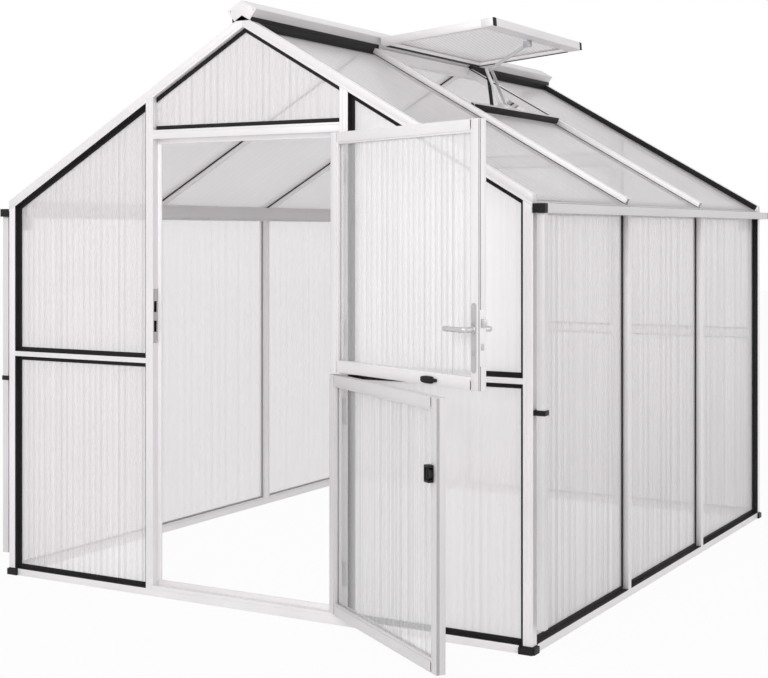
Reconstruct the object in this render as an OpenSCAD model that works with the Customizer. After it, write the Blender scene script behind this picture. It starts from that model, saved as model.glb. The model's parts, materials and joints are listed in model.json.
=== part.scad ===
// Greenhouse: aluminium frame, twin-wall glazing, two-part door and one roof vent.
// Millimetres, Z up. Z is 0 under the base rails, and the door is in the -Y wall.
// The door leaves and the roof vent stand open, as the part is usually shown.

/* [House] */
// Width across the side walls
house_w = 2360; // [2000:10:2800]
// Depth from the front face to the back face
house_d = 2751; // [2400:1:3200]
// Height of the line where the roof plane meets the side wall plane
eave_h = 1541; // [1480:1:1700]
// Pitch of the roof in degrees
roof_pitch = 30; // [27:0.5:33]
// Number of bays along each side
bay_count = 3; // [2:1:4]

/* [Frame profiles] */
// Face width of the corner posts
post_w = 35; // [30:1:45]
// Depth of every frame profile, from the outer face to the inner face
profile_d = 36; // [34:1:45]
// Height of the base rails
base_h = 28; // [24:1:40]
// Face width of the intermediate bars
bar_w = 30; // [24:1:40]
// Face width of the gable rafters, square to their length
rafter_w = 36; // [30:1:45]
// Face height of the mid rails and of the back cross rail
mid_rail_w = 20; // [16:1:30]
// Height of the underside of the mid rails
mid_rail_z = 903; // [850:1:950]
// Wall thickness of the hollow profiles
profile_wall = 2; // [1.5:0.1:2.5]
// Height of the eave rails on the side walls
eave_rail_h = 61; // [56:1:70]
// How far the inner body of an eave rail reaches in from the side wall face
eave_rail_in = 70; // [60:1:80]
// Thickness of the outer lip of an eave rail
eave_lip = 6; // [4:0.5:8]
// How far the top faces of the roof bars stop short of the side wall face
bar_setback = 3; // [1:0.5:10]
// How far the roof panels stop short of the side wall face
panel_setback = 1; // [0.5:0.5:6]
// Width of the grooves along the faces of the profiles
groove_w = 3; // [2:0.5:4]
// Depth of the grooves along the faces of the profiles
groove_t = 1.2; // [0.8:0.1:1.5]
// Distance of the grooves from the edges of the profiles
groove_in = 8; // [6:0.5:10]

/* [Glazing] */
// Depth of the panel faces behind the outer faces of the frame
panel_recess = 24; // [20:1:26]
// Thickness of the twin-wall panels
panel_t = 6; // [4:0.5:8]
// Clearance around each panel edge
panel_gap = 0.3; // [0.2:0.1:0.6]
// Width of the rubber glazing strips on the panels
strip_w = 17; // [12:1:22]
// Width of the narrow strips beside the roof bars
roof_strip_w = 6; // [4:1:10]
// Thickness of the rubber strips
strip_t = 2; // [1.5:0.1:3]
// Width of the seal strips inside the roof
inner_seal_w = 9; // [6:1:12]
// Thickness of the seal strips inside the roof
inner_seal_t = 3; // [2:0.5:5]
// Height of the seals along the sides of the vent opening
side_seal_h = 5; // [3:0.5:8]
// Height of the rubber wedge along the foot of the ridge cap
seal_h = 12; // [6:1:16]
// Width of the inner glazing beads
bead_w = 10; // [8:1:14]

/* [Ridge] */
// Half width of the ridge cap at its lower lip line
cap_half = 65; // [58:1:72]
// Height of the ridge cap's peak above the peak of the rafters
cap_rise = 57; // [50:1:64]
// Half width of the ridge cap at the line where it sits on the rafters
cap_foot = 35; // [32:1:38]
// Wall thickness of the ridge cap
cap_wall = 3; // [2:0.5:4]
// Length of each roof slope that the ridge beam covers
ridge_beam_s = 50; // [46:1:60]

/* [Drainage] */
// Width of the gutters
gutter_w = 46; // [40:1:60]
// Height of the gutters
gutter_h = 32; // [28:1:40]
// Distance from the eave line down to the gutter rim
gutter_drop = 32; // [28:1:36]
// Wall thickness of gutters and downpipes
gutter_wall = 2; // [1.5:0.1:3]
// Width of the downpipes across the house
pipe_w = 28; // [24:1:32]
// Depth of the downpipes along the house
pipe_d = 30; // [24:1:34]
// Height of the open lower end of the downpipes
pipe_end_z = 85; // [50:1:150]
// Height of the downpipe clips
clip_z = 800; // [600:10:1000]
// Length of the gutter end caps
gutter_cap_l = 26; // [18:1:36]

/* [Base corners] */
// Length of the black corner feet along the front and back
foot_len = 50; // [46:1:70]
// How far the corner feet reach past the posts along the side walls
foot_side = 7; // [4:1:12]
// How far the corner feet stand out past the wall faces
foot_out = 8; // [4:1:12]
// Height of the part of the corner feet that stands out
foot_h = 24; // [16:1:24]

/* [Door opening] */
// Distance between the inner faces of the door posts
door_open_w = 849; // [780:1:900]
// Height of the underside of the lintel
lintel_z = 1774; // [1700:1:1800]
// Face height of the lintel
lintel_w = 34.5; // [28:0.5:40]
// How far the stop flanges stand into the opening
stop_w = 18; // [15:1:22]
// Thickness of the stop flanges
stop_t = 5; // [4:0.5:6]
// Height of the door sill above the base rail
sill_h = 14; // [10:1:18]

/* [Door leaves] */
// Width of both leaves
leaf_w = 830; // [760:1:880]
// Thickness of the leaves
leaf_t = 32; // [30:1:33]
// Face width of the leaf frames
stile_w = 42; // [38:1:50]
// Height of the bottom of the lower leaf
leaf_z0 = 54; // [52:1:58]
// Height of the top of the lower leaf
lower_top = 905; // [860:1:940]
// Gap between the two leaves
leaf_gap = 11; // [6:1:16]
// Clearance between the upper leaf and the lintel
leaf_top_gap = 7; // [5:1:9]
// Distance from the hinge post's inner face to the leaves
hinge_gap = 3.5; // [3:0.5:5]
// How far the outer face of a closed leaf stands in front of the wall
leaf_proud = 2; // [1:0.5:3]
// Opening angle of the upper leaf as shown
upper_open = 155.5; // [90:0.5:160]
// Opening angle of the lower leaf as shown
lower_open = 145.2; // [90:0.5:160]
// Depth of the groove that holds a leaf panel
groove_d = 9; // [6:0.5:10]
// Width of the lowered edge of the leaf frames beside the panel
leaf_step_w = 7; // [5:0.5:8]
// Depth of the lowered edge of the leaf frames
leaf_step = 4; // [2:0.5:5]

/* [Door hinges] */
// Distance of the hinge axis in front of the wall
hinge_out = 8; // [8:0.5:10]
// Distance of the hinge axis from the edge of the leaves
hinge_in = 5; // [4:0.5:6]
// Radius of the hinge knuckles
knuckle_r = 6; // [5:0.5:6.5]
// Radius of the hinge pins
hinge_pin_r = 3; // [2.5:0.5:4]
// Height of each hinge
hinge_h = 90; // [70:1:120]
// Radial running clearance of every pivot
run_gap = 0.05; // [0.02:0.01:0.1]
// Distance of each hinge from the end of its leaf
hinge_end = 90; // [70:1:150]

/* [Door furniture] */
// Height of the lever spindle
lever_z = 1108; // [1070:1:1120]
// Distance of the spindle from the leaf's lock edge
backset = 21; // [19:0.5:22]
// Length of the handle plates
plate_h = 218; // [200:1:240]
// Height of the bottom of the handle plates
plate_z = 973; // [965:1:980]
// Width of the handle plates
plate_w = 22; // [18:0.5:24]
// Thickness of the handle plates
plate_t = 3; // [2:0.5:4]
// Length of the levers from the spindle to the tip
lever_l = 105; // [90:1:130]
// Radius of the lever bars
lever_r = 9; // [7:0.5:10]
// Distance of the lever bars' centre lines from the handle plates
lever_out = 36; // [30:1:45]
// Radius of the spindle
spindle_r = 6; // [5:0.5:6.5]
// Height of the key cylinder's axis
key_z = 1034; // [1025:1:1045]
// Radius of the key cylinder
key_r = 6; // [5:0.5:6.5]
// How far the latch bolt stands out at rest
latch_out = 18; // [16:1:20]
// Thickness of the bolts
bolt_t = 12; // [10:1:14]
// Height of the latch bolt
latch_h = 25; // [20:1:28]
// Height of the deadbolt
deadbolt_h = 20; // [16:1:24]
// Length of the turn button on the upper leaf
button_l = 80; // [60:1:90]
// Width of the turn button
button_w = 24; // [18:1:28]
// Distance of the turn button's pivot from the hinge edge of the leaf
button_u = 582; // [500:1:620]
// Height of the lower leaf's catch
catch_h = 54; // [44:1:64]
// Height of the bottom of the catch
catch_z = 643; // [600:1:700]

/* [Roof vent] */
// Length of the vent lid from its hinge to its free edge
vent_len = 552; // [540:1:560]
// Thickness of the vent lid's frame
vent_t = 34; // [30:1:36]
// Height of the vent hinge above the roof plane
vent_hinge_h = 26.6; // [26:0.2:27.2]
// Distance of the vent hinge down the slope from the peak
vent_hinge_s = 48.1; // [47.6:0.1:48.6]
// Rest angle of the vent lid above the horizontal
vent_lift = 5.2; // [0:0.2:8]
// Width of the lid's side rails
vent_rail_w = 30; // [24:1:36]
// Width of the rail at the lid's free edge
vent_edge_w = 60; // [50:1:66]
// How far the free-edge rail covers each roof bar
vent_cover = 30; // [24:1:30]
// Length of the black caps on the nose of the free-edge rail
vent_cap_l = 24; // [16:1:36]
// Depth of the nose of the free-edge rail
vent_nose = 6; // [4:0.5:9]
// Distance of the side rails from the ends of the free-edge rail
vent_rail_in = 3; // [2:0.5:6]
// How far down the slope the vent sill starts past the lid's length
sill_past_lid = 4; // [0:0.5:6]
// Width of the vent sill along the slope
vent_sill_w = 24; // [20:1:30]
// Clearance between the vent sill and the closed lid
vent_seat_gap = 0.4; // [0.3:0.1:1]

/* [Vent stay] */
// Distance of the stay's lid pivot from the free-edge rail
stay_back = 13.3; // [10:0.1:22]
// Distance of the stay's lid pivot below the lid
stay_drop = 19.5; // [18:0.5:22]
// Length of the upper arm between its pivots
arm_l = 203.6; // [195:0.1:210]
// Length of the lower struts between their pivots
strut_l = 170; // [165:0.5:175]
// Distance of the foot pivot up the slope from the vent sill
foot_back = 65.2; // [62:0.1:70]
// Distance of the foot pivot below the roof plane
foot_drop = 2.2; // [0:0.2:4]
// Half width of the stay's links
link_r = 7; // [6:0.5:8]
// Radius of the stay's pivot pins
stay_pin_r = 3; // [2.5:0.25:4]
// Radius of the opener cylinder
opener_r = 8; // [6:0.5:8]
// Length of the opener cylinder
opener_l = 208; // [180:1:212]
// Lean of the opener cylinder from the vertical, away from the struts
opener_tilt = 7.6; // [6:0.2:9]

/* [Hidden] */
$fn = 32;

// Clearance between separate pieces that only meet
joint_gap = 0.2;
// Overshoot of cutting solids
cut = 1;

half_w = house_w / 2;
tan_p = tan(roof_pitch);
cos_p = cos(roof_pitch);
sin_p = sin(roof_pitch);
apex_z = eave_h + half_w * tan_p;
bay_pitch = (house_d - profile_d) / bay_count;
// Y ranges of the bays between the bars, on the side walls and on the roof
function bay_y0(k) = k == 0 ? profile_d : profile_d / 2 + k * bay_pitch + bar_w / 2;
function bay_y1(k) = k == bay_count - 1 ? house_d - profile_d
    : profile_d / 2 + (k + 1) * bay_pitch - bar_w / 2;
vent_bay = 1;

// Heights of the roof plane and of the planes below it, at a distance x from the middle
function roof_z(x, drop = 0) = apex_z - abs(x) * tan_p - drop / cos_p;

door_in = door_open_w / 2;
door_out = door_in + post_w;
corner_in = half_w - post_w;
mid_rail_top = mid_rail_z + mid_rail_w;
lintel_top = lintel_z + lintel_w;
eave_bottom = eave_h - eave_rail_h;
bead_t = profile_d - panel_recess - panel_t;
lip_in = half_w - eave_lip;
// Lower ends along the slope of the roof panels and of what ends inside the eave lip
panel_end_s = (half_w - panel_setback + panel_recess * sin_p) / cos_p;
inner_end_s = (lip_in - panel_gap + panel_recess * sin_p) / cos_p;
bar_end_s = (half_w - bar_setback) / cos_p;
bar_round = 5;

// Outline of one glazed opening in a gable wall, drawn in by the distance i.
// Without z1 its top edge follows the rafters.
function slope_top(x, i) = roof_z(x, rafter_w + i);
function gable_bay(b, i) = concat(
    [[b[0] + i, b[2] + i], [b[1] - i, b[2] + i]],
    is_undef(b[3])
        ? concat([[b[1] - i, slope_top(b[1] - i, i)]],
            b[0] * b[1] < 0 ? [[0, slope_top(0, i)]] : [],
            [[b[0] + i, slope_top(b[0] + i, i)]])
        : [[b[1] - i, b[3] - i], [b[0] + i, b[3] - i]]);
low_right = [door_out, corner_in, base_h, mid_rail_z];
low_left = [-corner_in, -door_out, base_h, mid_rail_z];
high_right = [door_out, corner_in, mid_rail_top, undef];
high_left = [-corner_in, -door_out, mid_rail_top, undef];
wing_bays = [low_right, low_left, high_right, high_left];
gable_top_bay = [-door_in, door_in, lintel_top, undef];
back_mid_bays = [[-door_in, door_in, base_h, mid_rail_z],
    [-door_in, door_in, mid_rail_top, lintel_z]];
front_bays = concat(wing_bays, [gable_top_bay]);
back_bays = concat(wing_bays, back_mid_bays, [gable_top_bay]);

// Ridge cap outline, right half: peak, lip, foot on the rafter plane
cap_peak_z = apex_z + cap_rise;
cap_lip_z = cap_peak_z - cap_half * tan_p;
cap_foot_z = roof_z(cap_foot);
cap_over = 2;
cap_plate_t = 3;

// Door leaves, given closed in the wall and then turned about the hinge axis
leaf_x1 = door_in - hinge_gap;
leaf_x0 = leaf_x1 - leaf_w;
leaf_y0 = -leaf_proud;
leaf_y1 = leaf_t - leaf_proud;
upper_z0 = lower_top + leaf_gap;
upper_z1 = lintel_z - leaf_top_gap;
hinge_x = leaf_x1 + hinge_in;
hinge_y = -hinge_out;
window_x0 = leaf_x0 + stile_w;
window_x1 = leaf_x1 - stile_w;
leaf_panel_y0 = leaf_y1 - 20;
stop_y0 = profile_d - stop_t;
upper_hinges = [upper_z0 + hinge_end, upper_z1 - hinge_end - hinge_h];
lower_hinges = [leaf_z0 + hinge_end, lower_top - hinge_end - hinge_h];
hinge_zs = concat(lower_hinges, upper_hinges);
leaf_lip_gap = 0.3;
knuckle_part = (hinge_h - 2 * leaf_lip_gap) / 3;

spindle_x = leaf_x0 + backset;
latch_z0 = lever_z + spindle_r + 1.5;
deadbolt_z0 = key_z + key_r + 4;
bolt_y0 = 8;
slot_gap = 0.3;
// Inner end of the cavity in the lock stile, and the rear ends of the two bolts
cavity_x1 = leaf_x0 + stile_w - groove_d - 2 * profile_wall;
latch_back = leaf_x0 + 14;
deadbolt_back = cavity_x1 - 1.5;
button_z = upper_z0 + stile_w / 2 - 3;
button_t = 9;
pivot_head_r = 5;
pivot_head_h = 1.5;
catch_d = 20;
catch_x0 = leaf_x0 + 17;
catch_w = 30;
catch_arm = 8;
slide_y0 = 38;
slide_y1 = 46;
slide_hook = 8;

// Front and back reach of the whole part, which centre it on the origin
function leaf_y(angle, x, y) = hinge_y + (x - hinge_x) * sin(angle) + (y - hinge_y) * cos(angle);
front_reach = min(leaf_y(lower_open, leaf_x0, leaf_y1),
    leaf_y(lower_open, catch_x0, leaf_y1 + catch_d),
    leaf_y(lower_open, catch_x0 - slide_hook, slide_y1));
back_reach = house_d + foot_out;
front_y = -(front_reach + back_reach) / 2;

// Places in the roof's slope frame: s down the slope, h square to it
function slope_x(s, h) = s * cos_p + h * sin_p;
function slope_z(s, h) = apex_z - s * sin_p + h * cos_p;
vent_y0 = bay_y0(vent_bay);
vent_y1 = bay_y1(vent_bay);
vent_mid = (vent_y0 + vent_y1) / 2;
vent_x = slope_x(vent_hinge_s, vent_hinge_h);
vent_z = slope_z(vent_hinge_s, vent_hinge_h);
lid_half = vent_t / 2;
lid_start = 16;
lid_y0 = vent_y0 - vent_cover;
lid_y1 = vent_y1 + vent_cover;
lid_rail_y0 = lid_y0 + vent_rail_in;
lid_rail_y1 = lid_y1 - vent_rail_in;
lid_edge = vent_len - vent_edge_w;
vent_sill_s = vent_len + sill_past_lid;
sill_top_h = vent_hinge_h - lid_half - vent_seat_gap;
bead_r = 4;
neck_t = 2.4;
channel_r = 6.5;
channel_inset = 8;
// Room for the neck in the channel's mouth, past each end of the lid's travel
mouth_slack = 26;

// Pivots of the stay in the x, z plane at the middle of the vent
stay_lid_e = lid_edge - stay_back;
foot_s = vent_sill_s - foot_back;
lid_pivot = [vent_x + stay_lid_e * cos(vent_lift) + (lid_half + stay_drop) * sin(vent_lift),
    vent_z + stay_lid_e * sin(vent_lift) - (lid_half + stay_drop) * cos(vent_lift)];
foot_pivot = [slope_x(foot_s, -foot_drop), slope_z(foot_s, -foot_drop)];
reach = norm(foot_pivot - lid_pivot);
along = (arm_l * arm_l - strut_l * strut_l + reach * reach) / (2 * reach);
across = sqrt(arm_l * arm_l - along * along);
reach_dir = (foot_pivot - lid_pivot) / reach;
knee = lid_pivot + along * reach_dir + across * [reach_dir[1], -reach_dir[0]];
arm_half = 4;
ear_t = 4;
ear_gap = 2;
strut_y = 26;
strut_t = 4;
opener_y = 15;

// Moves the house, drawn from its front face, to the part's own origin
module place() {
    translate([0, front_y, 0]) children();
}

// Both a piece and its mirror image across the middle of the house
module both_sides() {
    children();
    mirror([1, 0, 0]) children();
}

// Both a piece of the front and its mirror image at the back
module both_ends() {
    children();
    translate([0, house_d, 0]) mirror([0, 1, 0]) children();
}

// Both a piece of the stay and its mirror image across the stay's middle plane
module both_hands() {
    children();
    mirror([0, 1, 0]) children();
}

// Outlines in x and z become plates between two depths behind the front face
module on_front(d0, d1) {
    translate([0, d1, 0]) rotate([90, 0, 0]) linear_extrude(d1 - d0) children();
}

module on_back(d0, d1) {
    translate([0, house_d, 0]) mirror([0, 1, 0]) on_front(d0, d1) children();
}

// Outlines in y and z become plates between two depths behind the right side face
module on_side(d0, d1) {
    translate([half_w - d1, 0, 0]) rotate([90, 0, 90]) linear_extrude(d1 - d0) children();
}

// Local x runs down the right slope and local z stands square to it
module on_slope() {
    translate([0, 0, apex_z]) rotate([0, roof_pitch, 0]) children();
}

// Outlines in the slope's s and h run along the house between two y places
module slope_run(y0, y1) {
    on_slope() translate([0, y1, 0]) rotate([90, 0, 0]) linear_extrude(y1 - y0) children();
}

// Outlines in x and z run along the house between two y places
module run_y(y0, y1) {
    translate([0, y1, 0]) rotate([90, 0, 0]) linear_extrude(y1 - y0) children();
}

module box(x0, x1, y0, y1, z0, z1) {
    translate([x0, y0, z0]) cube([x1 - x0, y1 - y0, z1 - z0]);
}

// Hollow rails open at both ends, along each axis
module tube_x(x0, x1, y0, y1, z0, z1, w = profile_wall) {
    difference() {
        box(x0, x1, y0, y1, z0, z1);
        box(x0 - cut, x1 + cut, y0 + w, y1 - w, z0 + w, z1 - w);
    }
}

module tube_y(x0, x1, y0, y1, z0, z1, w = profile_wall) {
    difference() {
        box(x0, x1, y0, y1, z0, z1);
        box(x0 + w, x1 - w, y0 - cut, y1 + cut, z0 + w, z1 - w);
    }
}

module tube_z(x0, x1, y0, y1, z0, z1, w = profile_wall) {
    difference() {
        box(x0, x1, y0, y1, z0, z1);
        box(x0 + w, x1 - w, y0 + w, y1 - w, z0 - cut, z1 + cut);
    }
}

module base_rails() {
    color("gainsboro") place() {
        both_ends() tube_x(foot_len - half_w, half_w - foot_len, 0, profile_d, 0, base_h);
        both_sides() tube_y(half_w - profile_d, half_w, profile_d + foot_side,
            house_d - profile_d - foot_side, 0, base_h);
    }
}

module base_corners() {
    color("dimgray") place() both_ends() both_sides() difference() {
        union() {
            box(half_w - foot_len, half_w, 0, profile_d + foot_side, 0, base_h);
            box(half_w - foot_len, half_w + foot_out, -foot_out, profile_d + foot_side, 0, foot_h);
        }
        // The outer corner of the foot is cut off at a slant
        translate([half_w + foot_out, -foot_out, -cut]) rotate([0, 0, 45])
            translate([-foot_out / 2, -foot_out, 0]) cube([foot_out, 2 * foot_out, foot_h + 2 * cut]);
    }
}

module door_sill() {
    color("gainsboro") place() {
        difference() {
            union() {
                box(-door_in, door_in, 0, profile_d, base_h, base_h + sill_h);
                box(-door_in, door_in, stop_y0, profile_d, base_h, leaf_z0 + 6);
            }
            box(-door_in - cut, door_in + cut, profile_wall, stop_y0 - profile_wall,
                base_h + profile_wall, base_h + sill_h - profile_wall);
        }
    }
}

module corner_posts() {
    color("whitesmoke") place() both_ends() both_sides() intersection() {
        difference() {
            box(corner_in, half_w, 0, profile_d, base_h, eave_h);
            box(corner_in + profile_wall, half_w - profile_wall - 3, profile_wall + 3,
                profile_d - profile_wall, base_h - cut, eave_bottom);
            // A small groove runs down the outer corner
            box(half_w - 3, half_w + cut, -cut, 3, base_h - cut, eave_h + cut);
            for (x = [corner_in + groove_in, half_w - groove_in - groove_w])
                box(x, x + groove_w, -cut, groove_t, base_h - cut, eave_bottom);
        }
        run_y(-cut, profile_d + cut) polygon([[corner_in - cut, 0], [half_w + cut, 0],
            [half_w + cut, roof_z(half_w + cut, rafter_w)],
            [corner_in - cut, roof_z(corner_in - cut, rafter_w)]]);
    }
}

// A gable post from the base rail up to the rafter
module gable_post() {
    intersection() {
        difference() {
            box(door_in, door_out, 0, profile_d, base_h, apex_z);
            box(door_in + profile_wall, door_out - profile_wall, profile_wall + groove_t,
                profile_d - profile_wall, base_h - cut, lintel_top);
            for (x = [door_in + groove_in, door_out - groove_in - groove_w])
                box(x, x + groove_w, -cut, groove_t, base_h - cut, apex_z);
        }
        run_y(-cut, profile_d + cut) polygon([[door_in - cut, 0], [door_out + cut, 0],
            [door_out + cut, roof_z(door_out + cut, rafter_w)],
            [door_in - cut, roof_z(door_in - cut, rafter_w)]]);
    }
}

strike_slots = [[lever_z - 6, 43], [key_z - 9, 44]];
strike_y0 = 5;
strike_y1 = 23;
module door_posts() {
    color("whitesmoke") place() {
        gable_post();
        box(door_in - stop_w, door_in, stop_y0, profile_d, leaf_z0 + 6, lintel_z - stop_w);
        difference() {
            mirror([1, 0, 0]) gable_post();
            for (slot = strike_slots)
                box(-door_in - 20, -door_in + cut, strike_y0, strike_y1, slot[0], slot[0] + slot[1]);
        }
        box(-door_in, stop_w - door_in, stop_y0, profile_d, leaf_z0 + 6, lintel_z - stop_w);
    }
}

// A groove along x in an outer face, from one height up
module face_groove(x0, x1, z0) {
    box(x0, x1, -cut, groove_t, z0, z0 + groove_w);
}

module mid_rail() {
    difference() {
        tube_x(door_out, corner_in, 0, profile_d, mid_rail_z, mid_rail_top, profile_wall + groove_t);
        face_groove(door_out - cut, corner_in + cut, mid_rail_z + (mid_rail_w - groove_w) / 2);
    }
}

module front_rails() {
    color("whitesmoke") place() {
        difference() {
            tube_x(-door_in, door_in, 0, profile_d, lintel_z, lintel_top, profile_wall + groove_t);
            face_groove(-door_in - cut, door_in + cut, lintel_top - groove_in - groove_w);
        }
        box(-door_in, door_in, stop_y0, profile_d, lintel_z - stop_w, lintel_z);
        both_sides() mid_rail();
    }
}

module back_posts() {
    color("whitesmoke") place() translate([0, house_d, 0]) mirror([0, 1, 0])
        both_sides() gable_post();
}

module back_rails() {
    color("whitesmoke") place() translate([0, house_d, 0]) mirror([0, 1, 0]) {
        both_sides() mid_rail();
        tube_x(-door_in, door_in, 0, profile_d, mid_rail_z, mid_rail_top);
        tube_x(-door_in, door_in, 0, profile_d, lintel_z, lintel_top);
    }
}

module side_bars() {
    color("whitesmoke") place() both_sides() for (k = [1 : bay_count - 1]) difference() {
        tube_z(half_w - profile_d, half_w, bay_y1(k - 1), bay_y0(k), base_h, eave_bottom,
            profile_wall + groove_t);
        for (y = [bay_y1(k - 1) + groove_in, bay_y0(k) - groove_in - groove_w])
            box(half_w - groove_t, half_w + cut, y, y + groove_w, base_h - cut, eave_bottom + cut);
    }
}

module eave_rails() {
    body_in = half_w - eave_rail_in;
    lip_drop = panel_recess + panel_t + joint_gap;
    top_drop = profile_d + joint_gap / 2;
    w = profile_wall;
    color("whitesmoke") place() both_sides() run_y(profile_d, house_d - profile_d) difference() {
        polygon([[half_w, eave_bottom], [half_w, roof_z(half_w, lip_drop)],
            [lip_in, roof_z(lip_in, lip_drop)], [lip_in, roof_z(lip_in, top_drop)],
            [body_in, roof_z(body_in, top_drop)], [body_in, eave_bottom]]);
        polygon([[lip_in - w, eave_bottom + w], [lip_in - w, roof_z(lip_in - w, top_drop + w)],
            [body_in + w, roof_z(body_in + w, top_drop + w)], [body_in + w, eave_bottom + w]]);
    }
}

module gable_rafters() {
    w = profile_wall;
    mitre = joint_gap / 2;
    end_x = half_w - 10;
    color("whitesmoke") place() both_ends() both_sides() difference() {
        run_y(0, profile_d) polygon([[mitre, roof_z(mitre)], [half_w, roof_z(half_w)],
            [half_w, roof_z(half_w, rafter_w)], [mitre, roof_z(mitre, rafter_w)]]);
        run_y(w + groove_t, profile_d - w) polygon([[-cut, roof_z(0, w)], [end_x, roof_z(end_x, w)],
            [end_x, roof_z(end_x, rafter_w - w)], [-cut, roof_z(0, rafter_w - w)]]);
        run_y(-cut, groove_t) polygon([for (x = [-cut, half_w + cut])
            [x, roof_z(x, rafter_w - groove_in)], for (x = [half_w + cut, -cut])
            [x, roof_z(x, rafter_w - groove_in - groove_w)]]);
    }
}

module roof_bars() {
    w = profile_wall;
    color("whitesmoke") place() both_sides() for (k = [1 : bay_count - 1]) difference() {
        slope_run(bay_y1(k - 1), bay_y0(k))
            polygon([[ridge_beam_s, 0], [bar_end_s - bar_round, 0], [bar_end_s, -bar_round],
                [bar_end_s, -panel_recess], [inner_end_s, -panel_recess],
                [inner_end_s, -profile_d], [ridge_beam_s, -profile_d]]);
        on_slope() box(ridge_beam_s - cut, inner_end_s - bar_round, bay_y1(k - 1) + w,
            bay_y0(k) - w, w - profile_d, -w - groove_t);
        on_slope() for (y = [bay_y1(k - 1) + groove_in, bay_y0(k) - groove_in - groove_w])
            box(ridge_beam_s + groove_in, bar_end_s + cut, y, y + groove_w, -groove_t, cut);
    }
}

module ridge_beam() {
    w = profile_wall;
    foot_x = slope_x(ridge_beam_s, -profile_d);
    foot_z = slope_z(ridge_beam_s, -profile_d);
    color("whitesmoke") place() run_y(profile_d, house_d - profile_d) difference() {
        polygon([[0, apex_z], [slope_x(ridge_beam_s, 0), slope_z(ridge_beam_s, 0)],
            [foot_x, foot_z], [-foot_x, foot_z],
            [-slope_x(ridge_beam_s, 0), slope_z(ridge_beam_s, 0)]]);
        polygon([[0, apex_z - w / cos_p], [foot_x - w, roof_z(foot_x - w, w)],
            [foot_x - w, foot_z + w], [w - foot_x, foot_z + w], [w - foot_x, roof_z(foot_x - w, w)]]);
    }
}

module cap_outline() {
    polygon([[0, cap_peak_z], [cap_half, cap_lip_z], [cap_foot, cap_foot_z], [0, apex_z],
        [-cap_foot, cap_foot_z], [-cap_half, cap_lip_z]]);
}

module ridge_cap() {
    w = cap_wall;
    color("whitesmoke") place() run_y(-cap_over, house_d + cap_over) difference() {
        cap_outline();
        polygon([[0, cap_peak_z - w / cos_p], [cap_half - 2.2 * w, cap_lip_z - 0.2 * w],
            [cap_foot - w, cap_foot_z - cut], [0, apex_z - cut], [w - cap_foot, cap_foot_z - cut],
            [2.2 * w - cap_half, cap_lip_z - 0.2 * w]]);
    }
}

module ridge_end_plates() {
    color("white") place() both_ends() run_y(-cap_over - cap_plate_t, -cap_over) difference() {
        cap_outline();
        both_sides() translate([cap_half - 14, cap_lip_z - 2]) circle(r = 2);
    }
}

module vent_sill() {
    w = profile_wall;
    s1 = vent_sill_s + vent_sill_w - strip_t - cut;
    color("whitesmoke") place() slope_run(vent_y0, vent_y1) difference() {
        translate([vent_sill_s, -profile_d]) square([s1 - vent_sill_s, sill_top_h + profile_d]);
        translate([vent_sill_s + w, w - profile_d])
            square([s1 - vent_sill_s - 2 * w, sill_top_h + profile_d - 2 * w]);
    }
}

// Channel on the ridge cap's flank that the lid's round hinge bead turns in
module vent_hinge_channel() {
    color("gainsboro") place() run_y(vent_y0 + channel_inset, vent_y1 - channel_inset) difference() {
        translate([vent_x, vent_z]) circle(r = channel_r);
        translate([vent_x, vent_z]) circle(r = bead_r + run_gap);
        translate([vent_x, vent_z]) polygon([[0, 0],
            for (a = [vent_lift + mouth_slack, -roof_pitch - mouth_slack]) 20 * [cos(a), sin(a)]]);
        cap_outline();
    }
}

// A flat link with round ends between two points of the x, z plane
module link(a, b, half, y0, y1) {
    angle = atan2(b[1] - a[1], b[0] - a[0]);
    translate([a[0], 0, a[1]]) rotate([0, -angle, 0]) {
        box(0, norm(b - a), y0, y1, -half, half);
        for (end = [0, norm(b - a)])
            translate([end, y1, 0]) rotate([90, 0, 0]) cylinder(r = half, h = y1 - y0);
    }
}

// A round pin or bore along y through a point of the x, z plane
module pin_y(p, r, y0, y1) {
    translate([p[0], y1, p[1]]) rotate([90, 0, 0]) cylinder(r = r, h = y1 - y0);
}

module stay_foot_bracket() {
    ear_y0 = strut_y + strut_t + leaf_lip_gap;
    color("silver") place() translate([0, vent_mid, 0]) {
        both_hands() {
            slope_run(ear_y0, ear_y0 + 3) polygon([[foot_s - 8, -10 - foot_drop],
                [foot_s - 8, 8 - foot_drop], [vent_sill_s, 8 - foot_drop], [vent_sill_s, -20]]);
            pin_y(foot_pivot, stay_pin_r, strut_y - 1, ear_y0 + 3);
        }
        slope_run(-ear_y0 - 3, ear_y0 + 3)
            translate([vent_sill_s - 3, -20]) square([3, 28 - foot_drop]);
    }
}

bracket_l = 60;
bracket_t = 2.5;
module corner_brackets() {
    x1 = half_w - profile_d;
    color("silver") place() both_ends() both_sides() {
        box(x1 - bracket_t, x1, profile_d, profile_d + bracket_l, eave_bottom - bracket_l, eave_bottom);
        box(x1 - bracket_l, x1 - bracket_t, profile_d, profile_d + bracket_t,
            eave_bottom - bracket_l, eave_bottom);
    }
}

frame_bolt_r = 5;
frame_bolt_h = 3;
module frame_bolts() {
    y1 = profile_d + bracket_t + frame_bolt_h;
    color("silver") place() both_ends() both_sides()
        for (z = [eave_bottom - 7, eave_bottom - 45])
            pin_y([half_w - profile_d - 13, z], frame_bolt_r, y1 - frame_bolt_h, y1);
}

module front_panels() {
    color("lavender") place() for (b = front_bays)
        on_front(panel_recess, panel_recess + panel_t) polygon(gable_bay(b, panel_gap));
}

module back_panels() {
    color("lavender") place() for (b = back_bays)
        on_back(panel_recess, panel_recess + panel_t) polygon(gable_bay(b, panel_gap));
}

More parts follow.
